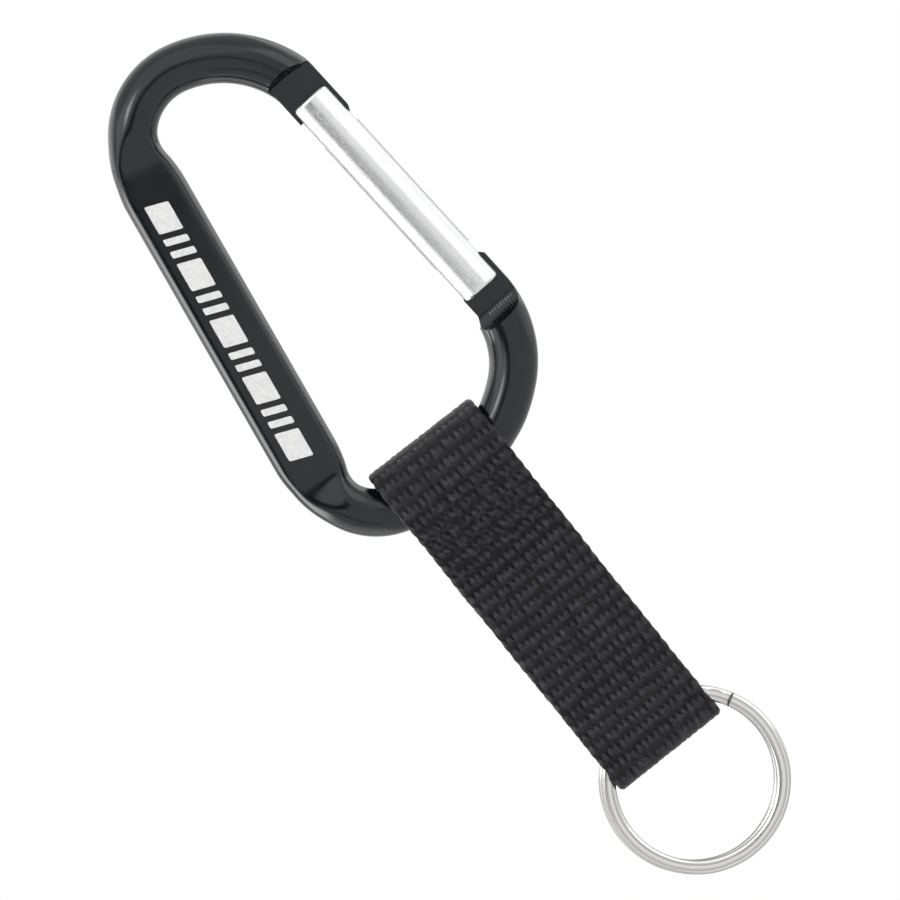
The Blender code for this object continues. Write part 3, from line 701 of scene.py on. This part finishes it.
def tongue_cutters():
    nose_far = NOSE_END - REACH
    pivot_far = PIVOT_END + REACH
    cutters = []
    for side in (-1.0, 1.0):
        cutters.append(run_out(*NOSE_FLAT, nose_far, side, False))
        cutters.append(run_out(*PIVOT_FLAT, pivot_far, side, True))
    for far, profile in (
        (nose_far, NOSE_OUTER),
        (nose_far, NOSE_INNER),
        (pivot_far, PIVOT_OUTER),
        (pivot_far, PIVOT_INNER),
    ):
        cutters.append(side_cutter(profile[0][0], far, profile))
    notch = [(-REACH, LATCH_A - NOTCH_R), (-REACH, LATCH_A + NOTCH_R)]
    for i in range(ARC_STEPS + 1):
        angle = 0.5 * math.pi - math.pi * i / ARC_STEPS
        notch.append((NOTCH_R * math.cos(angle), LATCH_A + NOTCH_R * math.sin(angle)))
    cutters.append(prism("cut_notch", notch, gate_plane))
    for edge, far, profile in (
        (LIP_MOUTH, NOSE_END - CUTTER_PAST, LIP_HOOK),
        (LIP_TOE[0][0], NOSE_END - CUTTER_PAST, LIP_TOE),
        (CAM_HEEL[0][0], PIVOT_END + CUTTER_PAST, CAM_HEEL),
        (CAM_TOE[0][0], PIVOT_END + CUTTER_PAST, CAM_TOE),
    ):
        cutters.append(side_cutter(edge, far, profile))
    hole = [(TONGUE_HOLE_R, -REACH), (TONGUE_HOLE_R, REACH)]
    cutters.append(lathe("cut_hole", hole, HOLE_SIDES, pin_axis(0.0)))
    return cutters


# ---- gate

def shade_gate(tube):
    """Paints a darker reflection on the sleeve's two sides as a flank value, where the real one mirrors a
    darker room.
    """
    spots = np.empty(3 * len(tube.data.vertices))
    tube.data.vertices.foreach_get("co", spots)
    spots = spots.reshape(-1, 3) / MM + HANG
    across = (spots[:, 0] - PIVOT_X) * ACROSS[0] + (spots[:, 2] - PIVOT_Z) * ACROSS[1]
    right = 0.1 * ramp(across, 2.0, 2.5) + 0.25 * ramp(across, 2.5, 2.9)
    left = 0.5 * ramp(-across, 2.5, 2.9) * ramp(across, -3.2, -2.9)
    point_values(tube, "flank", right + left)


def build_gate(mat):
    low = GATE_BOTTOM + GATE_ROUND
    high = GATE_TOP - GATE_ROUND
    turns = [0.5 * math.pi * i / ROUND_STEPS for i in range(ROUND_STEPS + 1)]
    flat = GATE_R - GATE_ROUND
    profile = [(flat + GATE_ROUND * math.sin(t), low - GATE_ROUND * math.cos(t)) for t in turns]
    profile += [(GATE_R, low + (high - low) * i / GATE_RINGS) for i in range(1, GATE_RINGS)]
    profile += [(flat + GATE_ROUND * math.cos(t), high + GATE_ROUND * math.sin(t)) for t in turns]
    tube = lathe("gate_sleeve", profile, GATE_SIDES, gate_axis, [mat])
    cutters = []
    for start, end in (
        (GATE_BOTTOM - CUTTER_PAST, PIVOT_SLOT_TOP),
        (LATCH_SLOT_BOTTOM, GATE_TOP + CUTTER_PAST),
    ):
        outline = [(-SLOT_HALF, start), (SLOT_HALF, start), (SLOT_HALF, end), (-SLOT_HALF, end)]
        cutters.append(prism("cut_slot", outline, gate_side))
    cutters.append(lathe("cut_bore", BORE, HOLE_SIDES, gate_axis))
    hole = [(GATE_HOLE_R, -REACH), (GATE_HOLE_R, REACH)]
    for along in (0.0, LATCH_A):
        cutters.append(lathe("cut_eye", hole, HOLE_SIDES, pin_axis(along), turn=0.0))
    carve(tube, cutters, 35.0)
    shade_gate(tube)
    return tube


def build_pin(name, along, mat):
    """Rivet pin ground flush with the round sleeve, with a fine broken edge."""
    place = pin_axis(along)
    rows = [(share * PIN_R, PIN_FLUSH) for share in PIN_SHARES]
    rows += [(PIN_R, PIN_EDGE), (PIN_R, PIN_DEPTH)]
    verts = []
    for side in (-1.0, 1.0):
        order = rows if side < 0.0 else list(reversed(rows))
        for r, drop in order:
            for i in range(HOLE_SIDES):
                turn = 2.0 * math.pi * i / HOLE_SIDES
                u = r * math.cos(turn)
                level = math.sqrt(GATE_R ** 2 - u * u) - drop
                verts.append(place(u, r * math.sin(turn), side * level))
    return make_mesh(name, verts, grid_faces(2 * len(rows), HOLE_SIDES), [mat])


# ---- webbing

def web_path():
    """Depth and height along the webbing's middle, from its tucked end round the ring and the rod."""
    back = HALF_GAP + 0.5 * WEB_T
    flap = HALF_GAP + 1.5 * WEB_T
    wall = POCKET_HALF + 0.5 * WEB_T
    corner = POCKET_CORNER + 0.5 * WEB_T
    low = POCKET_FLOOR - 0.5 * WEB_T
    neck = [(back, z) for z in (TUCKED_END, -30.0, -40.0, -47.4)] + [(1.15, -49.2), (wall - 0.05, -51.0)]
    pts = list(neck)
    pts.append((wall, low + corner + 1.0))
    for i in range(13):
        angle = -0.5 * math.pi * i / 12.0
        pts.append((wall - corner + corner * math.cos(angle), low + corner + corner * math.sin(angle)))
    pts += [(-y, z) for y, z in reversed(pts[len(neck):])]
    pts += [(-y, z) for y, z in reversed(neck[1:])]

    def tangent(y, side):
        reach = math.hypot(y, FLAT_TOP - LOOP_Z)
        lean = math.atan2(y * side, LOOP_Z - FLAT_TOP)
        return -0.5 * math.pi + math.acos(LOOP_R / reach) - lean

    front = tangent(-back, -1.0)
    rear = tangent(flap, 1.0)
    pts.append((-back, FLAT_TOP))
    for i in range(61):
        angle = (math.pi - front) + (front + rear - math.pi) * i / 60.0
        pts.append((LOOP_R * math.cos(angle), LOOP_Z + LOOP_R * math.sin(angle)))
    pts.append((flap, FLAT_TOP))
    pts.append((flap, FLAP_END))
    pts = np.array(pts)
    seg = np.hypot(*np.diff(pts, axis=0).T)
    s = np.concatenate([[0.0], np.cumsum(seg)])
    fine = np.arange(0.0, s[-1], PATH_STEP)
    kernel = np.hanning(2 * PATH_SMOOTH + 1)
    kernel /= kernel.sum()

    def smooth(values):
        grow = np.concatenate([
            2.0 * values[0] - values[1:PATH_SMOOTH + 1][::-1],
            values,
            2.0 * values[-1] - values[-PATH_SMOOTH - 1:-1][::-1],
        ])
        return np.convolve(grow, kernel, mode="valid")

    return np.stack([smooth(np.interp(fine, s, pts[:, k])) for k in (0, 1)], axis=1)


def weave(x, s, slant, rng_rows, rng_cols):
    """Height 0 to 1 of the woven face: ribs whose warp floats end in pointed teeth over the next rib."""
    best = np.zeros(np.broadcast(x, s).shape)
    k0 = np.floor(s / ROW_PITCH).astype(int)
    for dk in (-1, 0):
        k = k0 + dk
        jitter = rng_rows[k % len(rng_rows)]
        shift = COLUMN_LEAN * k + 0.2 * jitter
        near = np.floor(x / COLUMN_PITCH - shift)
        for dc in (0, 1):
            col = near + dc
            bits = rng_cols[(col.astype(int) * 7 + k * 13) % len(rng_cols)]
            centre_x = (col + shift) * COLUMN_PITCH + 0.11 * bits
            t = (s - 0.08 * jitter - 0.10 * bits) / ROW_PITCH - k
            dx = np.abs(x - centre_x + slant * (t - 0.6)) / COLUMN_PITCH
            crown = np.interp(t, CROWN_AT, CROWN_HEIGHT)
            half = np.interp(t, TOOTH_AT, TOOTH_HALF)
            groove = np.interp(t, TOOTH_AT, TOOTH_GROOVE)
            across = np.clip(dx / np.maximum(half, 0.02), 0.0, 1.0)
            body = crown * (1.0 - groove * (1.0 - np.sqrt(1.0 - 0.96 * across * across)))
            fade = np.clip((half - dx) / 0.05, 0.0, 1.0)
            best = np.maximum(best, body * fade * (0.88 + 0.12 * bits))
    return best


def tangle(x, s, grid, cell):
    """Smooth random field -1 to 1 over the webbing, from a grid of random heights."""
    rows, cols = grid.shape
    p = (x + 12.0) / cell
    q = s / cell
    i = np.clip(np.floor(p).astype(int), 0, cols - 2)
    j = np.clip(np.floor(q).astype(int), 0, rows - 2)
    fp = ramp(p - i, 0.0, 1.0)
    fq = ramp(q - j, 0.0, 1.0)
    low = grid[j, i] * (1.0 - fp) + grid[j, i + 1] * fp
    high = grid[j + 1, i] * (1.0 - fp) + grid[j + 1, i + 1] * fp
    return low * (1.0 - fq) + high * fq


def web_stations():
    """Evenly spaced places along the webbing: distance, depth, height and both parts of the normal."""
    line = web_path()
    s = np.concatenate([[0.0], np.cumsum(np.hypot(*np.diff(line, axis=0).T))])
    at = np.linspace(0.0, s[-1], int(s[-1] / WEB_STEP))
    y = np.interp(at, s, line[:, 0])
    z = np.interp(at, s, line[:, 1])
    ty = np.gradient(y, at)
    tz = np.gradient(z, at)
    size = np.hypot(ty, tz)
    return at, y, z, -tz / size, ty / size


def web_spots():
    """Places across both faces: (side, share of the flat, angle round the rounded edge)."""
    edge = [math.radians(a) for a in (0.0, 14.0, 30.0, 46.0, 62.0, 78.0)]
    outer = [(1.0, None, a) for a in edge]
    outer += [(0.0, c, None) for c in np.linspace(1.0, -1.0, CORE_COLUMNS)]
    outer += [(-1.0, None, a) for a in edge[::-1]]
    edge = [math.radians(-a) for a in (30.0, 60.0)]
    inner = [(-1.0, None, a) for a in edge]
    inner += [(0.0, c, None) for c in np.linspace(-1.0, 1.0, UNDER_COLUMNS)]
    inner += [(1.0, None, a) for a in edge[::-1]]
    return outer, inner


def web_reach(at, y, z, rng_rows):
    """How far the webbing reaches to the left and right, with a scalloped selvage on each side."""
    left = LEFT_REACH + SELVAGE_WAVE * (ramp(-z, 10.0, 50.0) + np.sin(at * 0.41))
    right = RIGHT_REACH - RIGHT_NARROWS * ramp(-z, 0.0, 50.0) + SELVAGE_WAVE * np.sin(at * 0.33 + 2.0)
    pinch = PINCH * np.exp(-((z + 57.0) / PINCH_HALF) ** 2) * (y < 2.2)
    scallop = SCALLOP * (np.abs(np.sin(math.pi * at / ROW_PITCH)) - 1.0)
    jitter_at = 1.6 * np.arange(len(rng_rows))
    left = left + pinch + scallop + SELVAGE_WAVE * np.interp(at, jitter_at, rng_rows)
    right = right + scallop + SELVAGE_WAVE * np.interp(at, jitter_at, rng_rows[::-1])
    return left, right


def web_place(spot, left, right):
    """X of a place across, and the share of the half thickness that it stands out."""
    sign, share, angle = spot
    if share is None:
        reach = right if sign > 0.0 else left
        return sign * (reach - WEB_EDGE + WEB_EDGE * math.cos(angle)), abs(math.sin(angle))
    return 0.5 * (right - left) + share * (0.5 * (left + right) - WEB_EDGE), 1.0


def build_webbing(mat):
    rng = np.random.default_rng(7)
    rng_rows = rng.uniform(-1.0, 1.0, 97)
    rng_cols = rng.uniform(-1.0, 1.0, 211)
    rng_grid = rng.uniform(-1.0, 1.0, (360, 60))
    at, y, z, ny, nz = web_stations()
    left, right = web_reach(at, y, z, rng_rows)
    outer, inner = web_spots()

    # Flatter at both folds, and flatter, slanted and tangled where the front is rucked.
    rucked_end = (y < 0.0) * (1.0 - ramp(-z, *RUCK_END))
    calm = 0.45 * ramp(-z, 56.3, 58.2) + 0.3 * ramp(z, -2.0, -0.4)
    calm = calm + 0.28 * ramp(-z, *RUCK_START) * rucked_end
    slant = 0.55 * ramp(-z, *SLANT_START) * rucked_end
    mixed = (y < 0.0) * ramp(-z, *TANGLE_START) * (1.0 - ramp(-z, *TANGLE_END))
    shade = 0.10 * mixed + 0.12 * ramp(z, -4.0, -1.0)
    depth = WEAVE_DEPTH - 0.20 * ramp(z, -5.0, -1.0) - 0.20 * ramp(-z, 56.5, 58.6)
    columns = []
    for spot in outer:
        x, level = web_place(spot, left, right)
        drift = 0.12 * tangle(x, at, rng_grid[::-1], 2.4) * (1.0 + mixed)
        relief = weave(x, at + drift, slant, rng_rows, rng_cols)
        relief = relief + (0.78 - relief) * calm
        relief = relief + (0.13 + 0.16 * mixed) * tangle(x, at, rng_grid, 0.45) - shade
        relief = np.clip(relief, 0.0, 1.0)
        columns.append((x, level * (0.5 * WEB_T - depth * (1.0 - relief)), relief))
    for spot in inner:
        x, level = web_place(spot, left, right)
        columns.append((x, level * (UNDER_DIP - 0.5 * WEB_T), np.full(len(at), 0.5)))

    from_end = np.minimum(at, at[-1] - at)
    taper = np.minimum(1.0, 0.35 + 0.65 * np.sqrt(np.clip(from_end / END_TAPER, 0.0, 1.0)))
    tuck = 1.0 - TUCK_THIN * (1.0 - ramp(at, *TUCK_ZONE))
    fold = ramp(z, *FOLD_ZONE)
    verts = np.zeros((len(at), len(columns), 3))
    for j, (x, off, _) in enumerate(columns):
        rise = off * taper * np.where(off > 0.0, tuck, 1.0)
        tilt = (FOLD_SAG - 0.022 * x) * fold - 0.010 * x * ramp(-z, 54.0, 58.0)
        verts[:, j] = np.stack([x, y + ny * rise, z + nz * rise + tilt], axis=1)
    faces = grid_faces(len(at), len(columns))
    obj = make_mesh("strap_webbing", verts.reshape(-1, 3), faces, [mat])
    # The crown value also paints shade into the weave's grooves.
    point_values(obj, "crown", np.stack([relief for _, _, relief in columns], axis=1).reshape(-1))
    uv = obj.data.uv_layers.new(name="weave")
    index = np.zeros(len(obj.data.loops), np.int32)
    obj.data.loops.foreach_get("vertex_index", index)
    flat = np.stack([verts[:, :, 0].reshape(-1), np.repeat(at, len(columns))], axis=1)
    uv.data.foreach_set("uv", flat[index].reshape(-1).astype(np.float32))
    return obj


def build_stitches(name, row_z, mat):
    """One row of zigzag lock-stitch: each leg arches over the flap and dips in at both holes."""
    low = HALF_GAP + 2.0 * WEB_T - 0.1 - STITCH_SUNK
    holes = [
        (STITCH_HALF_WIDTH * (2.0 * i / STITCH_LEGS - 1.0), row_z + STITCH_HALF_HEIGHT * (-1.0) ** (i + 1))
        for i in range(STITCH_LEGS + 1)
    ]
    pts = []
    for (x0, z0), (x1, z1) in zip(holes, holes[1:]):
        for k in range(STITCH_STEPS):
            t = k / STITCH_STEPS
            lift = STITCH_ARCH * math.sin(math.pi * t) ** 0.45
            pts.append((x0 + (x1 - x0) * t, low + lift, z0 + (z1 - z0) * t))
    pts.append((holes[-1][0], low, holes[-1][1]))
    pts = np.array(pts)
    run = np.gradient(pts, axis=0)
    run /= np.linalg.norm(run, axis=1)[:, None]
    verts = []
    for i, (p, t) in enumerate(zip(pts, run)):
        side = np.cross(t, (0.0, 1.0, 0.0))
        side /= np.linalg.norm(side)
        up = np.cross(side, t)
        for j in range(THREAD_SIDES):
            turn = 2.0 * math.pi * j / THREAD_SIDES
            ply = THREAD_R * (1.0 + 0.14 * math.cos(2.0 * turn + i * 0.9))
            verts.append(p + ply * (math.cos(turn) * side + math.sin(turn) * up))
    return make_mesh(name, np.array(verts), grid_faces(len(pts), THREAD_SIDES), [mat])


# ---- split ring

def build_ring(mat, cut_mat):
    """One flattened wire wound twice: it steps back from the front coil where its two ends lap."""
    total = 4.0 * math.pi - RING_LAP - 2.0 * RING_GAP
    cross_end = 2.0 * math.pi - RING_GAP
    cross_start = cross_end - RING_LAP
    ends = np.array(END_MARKS) / RING_MID_R
    marks = np.sort(np.concatenate([np.linspace(0.0, total, RING_STEPS + 1), ends, total - ends]))
    side = ramp(marks, cross_start, cross_end)
    y0 = (COIL_T + COIL_GAP) * (side - 0.5)
    turn = 2.0 * math.pi * (np.arange(RING_SIDES) + 0.5) / RING_SIDES
    u = RING_HALF_W * np.sign(np.cos(turn)) * np.abs(np.cos(turn)) ** COIL_POWER
    v = 0.5 * COIL_T * np.sign(np.sin(turn)) * np.abs(np.sin(turn)) ** COIL_POWER
    share = u / RING_HALF_W
    v = v * (1.0 - COIL_THIN * share ** 2)
    from_end = np.clip(np.minimum(marks, total - marks) * RING_MID_R / END_ROUND, 0.0, 1.0)
    close = np.sqrt(np.clip(1.0 - (1.0 - from_end) ** 2, 0.12, 1.0))
    angle = RING_CUT - marks
    settle = side * ramp(marks, cross_start, cross_start + COIL_SETTLE)
    radius = RING_MID_R - COIL_INSET * side[:, None] + u[None, :] * close[:, None]
    x = radius * np.cos(angle)[:, None] + COIL_SHIFT[0] * settle[:, None]
    z = RING_Z + radius * np.sin(angle)[:, None] + COIL_SHIFT[1] * settle[:, None]
    y = y0[:, None] + v[None, :] * close[:, None]
    verts = np.stack([x, y, z], axis=-1).reshape(-1, 3)
    faces = grid_faces(len(marks), RING_SIDES)
    ring = make_mesh("key_ring_coils", verts, faces, [mat, cut_mat])
    # Painted shade: the faces nearest each cut end, caps included, take the darker second material, for the
    # dark gap where the ends lap.
    shaded_rows = len(END_MARKS) * RING_SIDES
    last = len(faces) - 2
    flags = np.zeros(len(faces), np.int32)
    flags[:shaded_rows] = 1
    flags[last - shaded_rows:] = 1
    ring.data.polygons.foreach_set("material_index", flags)
    # Painted shade: the coils' inner and outer flanks darken through the flank value.
    dimmer = np.where(share < 0.0, 0.6 * ramp(-share, 0.80, 0.98), 0.7 * ramp(share, 0.86, 1.0))
    point_values(ring, "flank", np.tile(dimmer, len(marks)))
    return ring


# ---- print on the spine

def round_corners(corners, radius):
    """The outline with each corner drawn as a short curve."""
    out = []
    count = len(corners)
    for i in range(count):
        p = Vector(corners[i])
        a = (Vector(corners[i - 1]) - p).normalized() * radius
        b = (Vector(corners[(i + 1) % count]) - p).normalized() * radius
        for k in range(5):
            t = k / 4.0
            q = (p + a) * (1.0 - t) ** 2 + p * 2.0 * t * (1.0 - t) + (p + b) * t * t
            out.append((q.x, q.y))
    return out


def build_print(mat):
    """Plain slanted bars in light ink on the pressed flat, in place of any wording."""
    spine = LINE["spine"]
    out = (math.cos(spine), math.sin(spine))
    up = (-out[1], out[0]) if out[0] > 0.0 else (out[1], -out[0])
    foot = (CORNER_ARC[0] + CORNER_ARC[2] * out[0], CORNER_ARC[1] + CORNER_ARC[2] * out[1])
    inner, outer = BAR_SIDES
    verts = []
    faces = []
    cursor = BAR_START
    for width in BAR_WIDTHS:
        corners = [
            (foot[0] + up[0] * (cursor + s) + out[0] * u, foot[1] + up[1] * (cursor + s) + out[1] * u)
            for u, s in ((inner, 0.0), (outer, BAR_LEAN), (outer, width + BAR_LEAN), (inner, width))
        ]
        rounded = round_corners(corners, BAR_ROUND)
        for y in (INK_SUNK - SPINE_HALF_THICK, -INK_PROUD - SPINE_HALF_THICK):
            verts += [(x, y, z) for x, z in rounded]
        base = len(verts) - 2 * len(rounded)
        faces += [[base + f for f in quad] for quad in grid_faces(2, len(rounded))]
        cursor += width + BAR_SPACE
    return make_mesh("spine_bars", np.array(verts), faces, [mat], smooth=False)


# ---- stage

RIGHT = Vector((0.776, 0.0, -0.6307)).normalized()
UP = Vector((0.6307, 0.0, 0.776)).normalized()
FRONT = Vector((0.0, -1.0, 0.0))
VIEW_X = -1.35 * MM
VIEW_Z = -66.1 * MM
VIEW_WIDTH = 0.1331
LENS = 400.0
SENSOR = 36.0
FLOOR_HALF = 1.6
FLOOR_Z = -0.30
ARM_Y = -0.45
ARM_TOP = 0.088
SHADE_TILTS = (140, 265, 5)
SHADE_RADIUS = 0.03
SHADE_DEPTHS = (-0.012, 0.03)
SHADE_STRENGTH = 0.78


def emitter(name, strength):
    mat = bpy.data.materials.new(name)
    mat.use_nodes = True
    tree = mat.node_tree
    tree.nodes.clear()
    out = add_node(tree, "OutputMaterial")
    glow = add_node(tree, "Emission", Color=(1.0, 1.0, 1.0, 1.0), Strength=strength)
    tree.links.new(glow.outputs["Emission"], out.inputs["Surface"])
    return mat


def aim(tilt, off, back=False):
    """Direction at an angle off the front axis, leaning the way a clock hand at the tilt points."""
    tilt = math.radians(tilt)
    off = math.radians(off)
    side = Vector((math.cos(tilt), 0.0, math.sin(tilt)))
    return (-FRONT if back else FRONT) * math.cos(off) + side * math.sin(off)


def staged(name, verts, faces, mat, camera=False, glossy=False):
    """A stage mesh that takes part in one kind of ray only and never blocks a light."""
    mesh = bpy.data.meshes.new(name)
    mesh.from_pydata([tuple(v) for v in verts], [], faces)
    mesh.materials.append(mat)
    obj = bpy.data.objects.new(name, mesh)
    bpy.context.scene.collection.objects.link(obj)
    obj.visible_camera = camera
    obj.visible_glossy = glossy
    obj.visible_diffuse = False
    obj.visible_shadow = False
    obj.visible_transmission = False
    return obj


def add_ball(name, centre, radius, strength, camera, glossy):
    verts = []
    rings = 24
    sides = 48
    for i in range(rings + 1):
        polar = math.pi * (i + 0.02) / (rings + 0.04)
        for j in range(sides):
            turn = 2.0 * math.pi * j / sides
            flat = math.sin(polar) * Vector((math.cos(turn), math.sin(turn), 0.0))
            verts.append(centre + (flat + Vector((0.0, 0.0, math.cos(polar)))) * radius)
    return staged(name, verts, grid_faces(rings + 1, sides), emitter(name, strength), camera, glossy)


def add_card(name, centre, way, distance, half_x, half_y, strength):
    """A card that only shows in reflections. Half sizes are degrees as seen from the object."""
    across = Vector((0.0, 0.0, 1.0)).cross(way).normalized()
    up = way.cross(across).normalized()
    middle = centre + way * distance
    wide = across * distance * math.tan(math.radians(half_x))
    tall = up * distance * math.tan(math.radians(half_y))
    corners = [middle - wide - tall, middle + wide - tall, middle + wide + tall, middle - wide + tall]
    return staged(name, corners, [(0, 1, 2, 3)], emitter(name, strength), glossy=True)


def add_ring_shade():
    """A curved grey card low on the left, which keeps the left box out of the ring's flanks."""
    centre = Vector(row((0.0, 0.0, RING_Z)))
    verts = []
    for tilt in range(*SHADE_TILTS):
        reach = Vector((math.cos(math.radians(tilt)), 0.0, math.sin(math.radians(tilt)))) * SHADE_RADIUS
        verts += [centre + reach + Vector((0.0, y, 0.0)) for y in SHADE_DEPTHS]
    faces = [(i, i + 1, i + 3, i + 2) for i in range(0, len(verts) - 2, 2)]
    return staged("ring_shade", verts, faces, emitter("ring_shade", SHADE_STRENGTH), glossy=True)


def add_area(name, way, distance, size, power, target):
    data = bpy.data.lights.new(name, "AREA")
    data.shape = "SQUARE"
    data.size = size
    data.energy = power
    obj = bpy.data.objects.new(name, data)
    bpy.context.scene.collection.objects.link(obj)
    obj.location = target + way * distance
    obj.rotation_mode = "QUATERNION"
    obj.rotation_quaternion = (-way).to_track_quat("-Z", "Y")
    obj.visible_glossy = False
    return obj


def build_stage():
    scene = bpy.context.scene
    world = bpy.data.worlds.new("studio")
    scene.world = world
    world.use_nodes = True
    set_inputs(world.node_tree.nodes["Background"], {"Color": (1.0, 1.0, 1.0, 1.0), "Strength": 0.5})

    mesh = bpy.data.meshes.new("floor")
    corners = [(x * FLOOR_HALF, y * FLOOR_HALF, FLOOR_Z) for x, y in ((-1, -1), (1, -1), (1, 1), (-1, 1))]
    mesh.from_pydata(corners, [], [(0, 1, 2, 3)])
    white = (1.0, 1.0, 1.0, 1.0)
    mat, _, _ = new_material("floor_white", (0.93, 0.93, 0.93), 0.0, 0.9,
                             Emission_Color=white, Emission_Strength=0.5)
    mesh.materials.append(mat)
    floor = bpy.data.objects.new("floor", mesh)
    scene.collection.objects.link(floor)
    floor.visible_glossy = False

    centre = Vector((VIEW_X, 0.0, VIEW_Z))
    add_ball("white_surround", centre, 3.0, 1.0, True, False)
    add_ball("tent", centre, 1.5, 0.76, False, True)
    # Name, tilt, angle off the axis, distance, half width, half height, strength.
    for name, tilt, off, distance, wide, tall, strength in (
        ("left_box", 178.0, 95.5, 1.2, 21.0, 21.0, 5.0),
        ("left_low", 215.0, 105.0, 1.3, 22.0, 25.0, 1.4),
        ("right_side", 0.0, 98.0, 1.3, 22.0, 40.0, 1.1),
        ("top_left", 142.0, 56.0, 1.2, 20.0, 22.0, 1.7),
        ("top", 88.0, 46.0, 1.3, 30.0, 26.0, 1.15),
        ("right_box", 16.0, 58.0, 1.2, 17.0, 22.0, 1.7),
        ("hot_spot", 120.0, 39.0, 1.1, 6.0, 6.0, 6.5),
        ("dark_seam", 180.0, 43.0, 1.1, 4.0, 50.0, 0.32),
        ("backdrop", 0.0, 180.0, 1.4, 56.0, 56.0, 0.92),
    ):
        add_card(name, centre, aim(tilt, off), distance, wide, tall, strength)
        if off < 70.0 and name != "hot_spot":
            add_card(name + "_back", centre, aim(tilt, off, True), distance, wide, tall, strength)
    # The camera's dark arm, mirrored in the rod: name, left, right, foot (metres), strength.
    for name, x0, x1, z0, strength in (
        ("dark_arm", -0.09, 0.019, -0.004, 0.1),
        ("dark_arm_middle", -0.33, -0.09, -0.034, 0.04),
        ("dark_arm_far", -0.56, -0.33, -0.056, 0.04),
    ):
        corners = [(x0, ARM_Y, z0), (x1, ARM_Y, z0), (x1, ARM_Y, ARM_TOP), (x0, ARM_Y, ARM_TOP)]
        staged(name, corners, [(0, 1, 2, 3)], emitter(name, strength), glossy=True)
    add_ring_shade()
    add_area("key", aim(115.0, 40.0), 0.8, 0.35, 3.5, centre)
    add_area("low_rim", aim(275.0, 84.0), 0.8, 0.3, 4.0, centre)
    add_area("top_rim", aim(95.0, 104.0), 0.8, 0.3, 5.0, centre)
    add_area("key_back", aim(115.0, 50.0, True), 0.8, 0.35, 3.6, centre)

    data = bpy.data.cameras.new("camera")
    data.lens = LENS
    data.sensor_width = SENSOR
    data.clip_start = 0.01
    data.clip_end = 20.0
    camera = bpy.data.objects.new("camera", data)
    scene.collection.objects.link(camera)
    distance = VIEW_WIDTH * LENS / SENSOR
    turn = Matrix((RIGHT, UP, FRONT)).transposed().to_4x4()
    camera.matrix_world = Matrix.Translation(centre + FRONT * distance) @ turn
    scene.camera = camera
    scene.view_settings.view_transform = "Standard"
    scene.view_settings.look = "None"


# ---- assembly

black = anodised_material()
silver = aluminium_material("satin_aluminium", (0.93, 0.935, 0.94), 0.24, 0.32, (1.0, 1.0, 0.35))
pin_steel = aluminium_material("satin_rivet", (0.92, 0.925, 0.93), 0.25, 0.32, (1.0, 1.0, 0.35))
spring_wire = steel_material("spring_wire", (0.62, 0.62, 0.63), 0.3)
plunger_metal = steel_material("plunger_brass", (0.72, 0.6, 0.36), 0.32)
yarn = webbing_material()
thread = thread_material()
nickel = nickel_material()
# Darker metal for the ring's cut ends: painted shade in the gap where they lap.
shaded_wire_end = steel_material("cut_wire_end", (0.16, 0.155, 0.15), 0.45)
ink = ink_material()

body = build_body(black)
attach(body, "carabiner")
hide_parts("carabiner_body")

gate = build_gate(silver)
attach(gate, "gate")
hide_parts("gate_tube")

bars = build_print(ink)
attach(bars, "carabiner")

ring = build_ring(nickel, shaded_wire_end)
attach(ring, "ring")
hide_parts("split_ring")

for tag, height in STITCH_ROWS:
    stitch = build_stitches("stitching_" + tag, height, thread)
    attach(stitch, "strap")
    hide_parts("webbing_stitch_" + tag)

webbing = build_webbing(yarn)
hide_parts("webbing_strap", "webbing_ring_loop")
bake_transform(webbing)

for tag, along in (("pivot", 0.0), ("latch", LATCH_A)):
    pin = build_pin("rivet_" + tag, along, pin_steel)
    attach(pin, "gate")
    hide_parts("gate_" + tag + "_pin")

for node, mat in (("gate_spring", spring_wire), ("gate_plunger", plunger_metal)):
    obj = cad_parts[node]
    obj.data.materials.clear()
    obj.data.materials.append(mat)

build_stage()
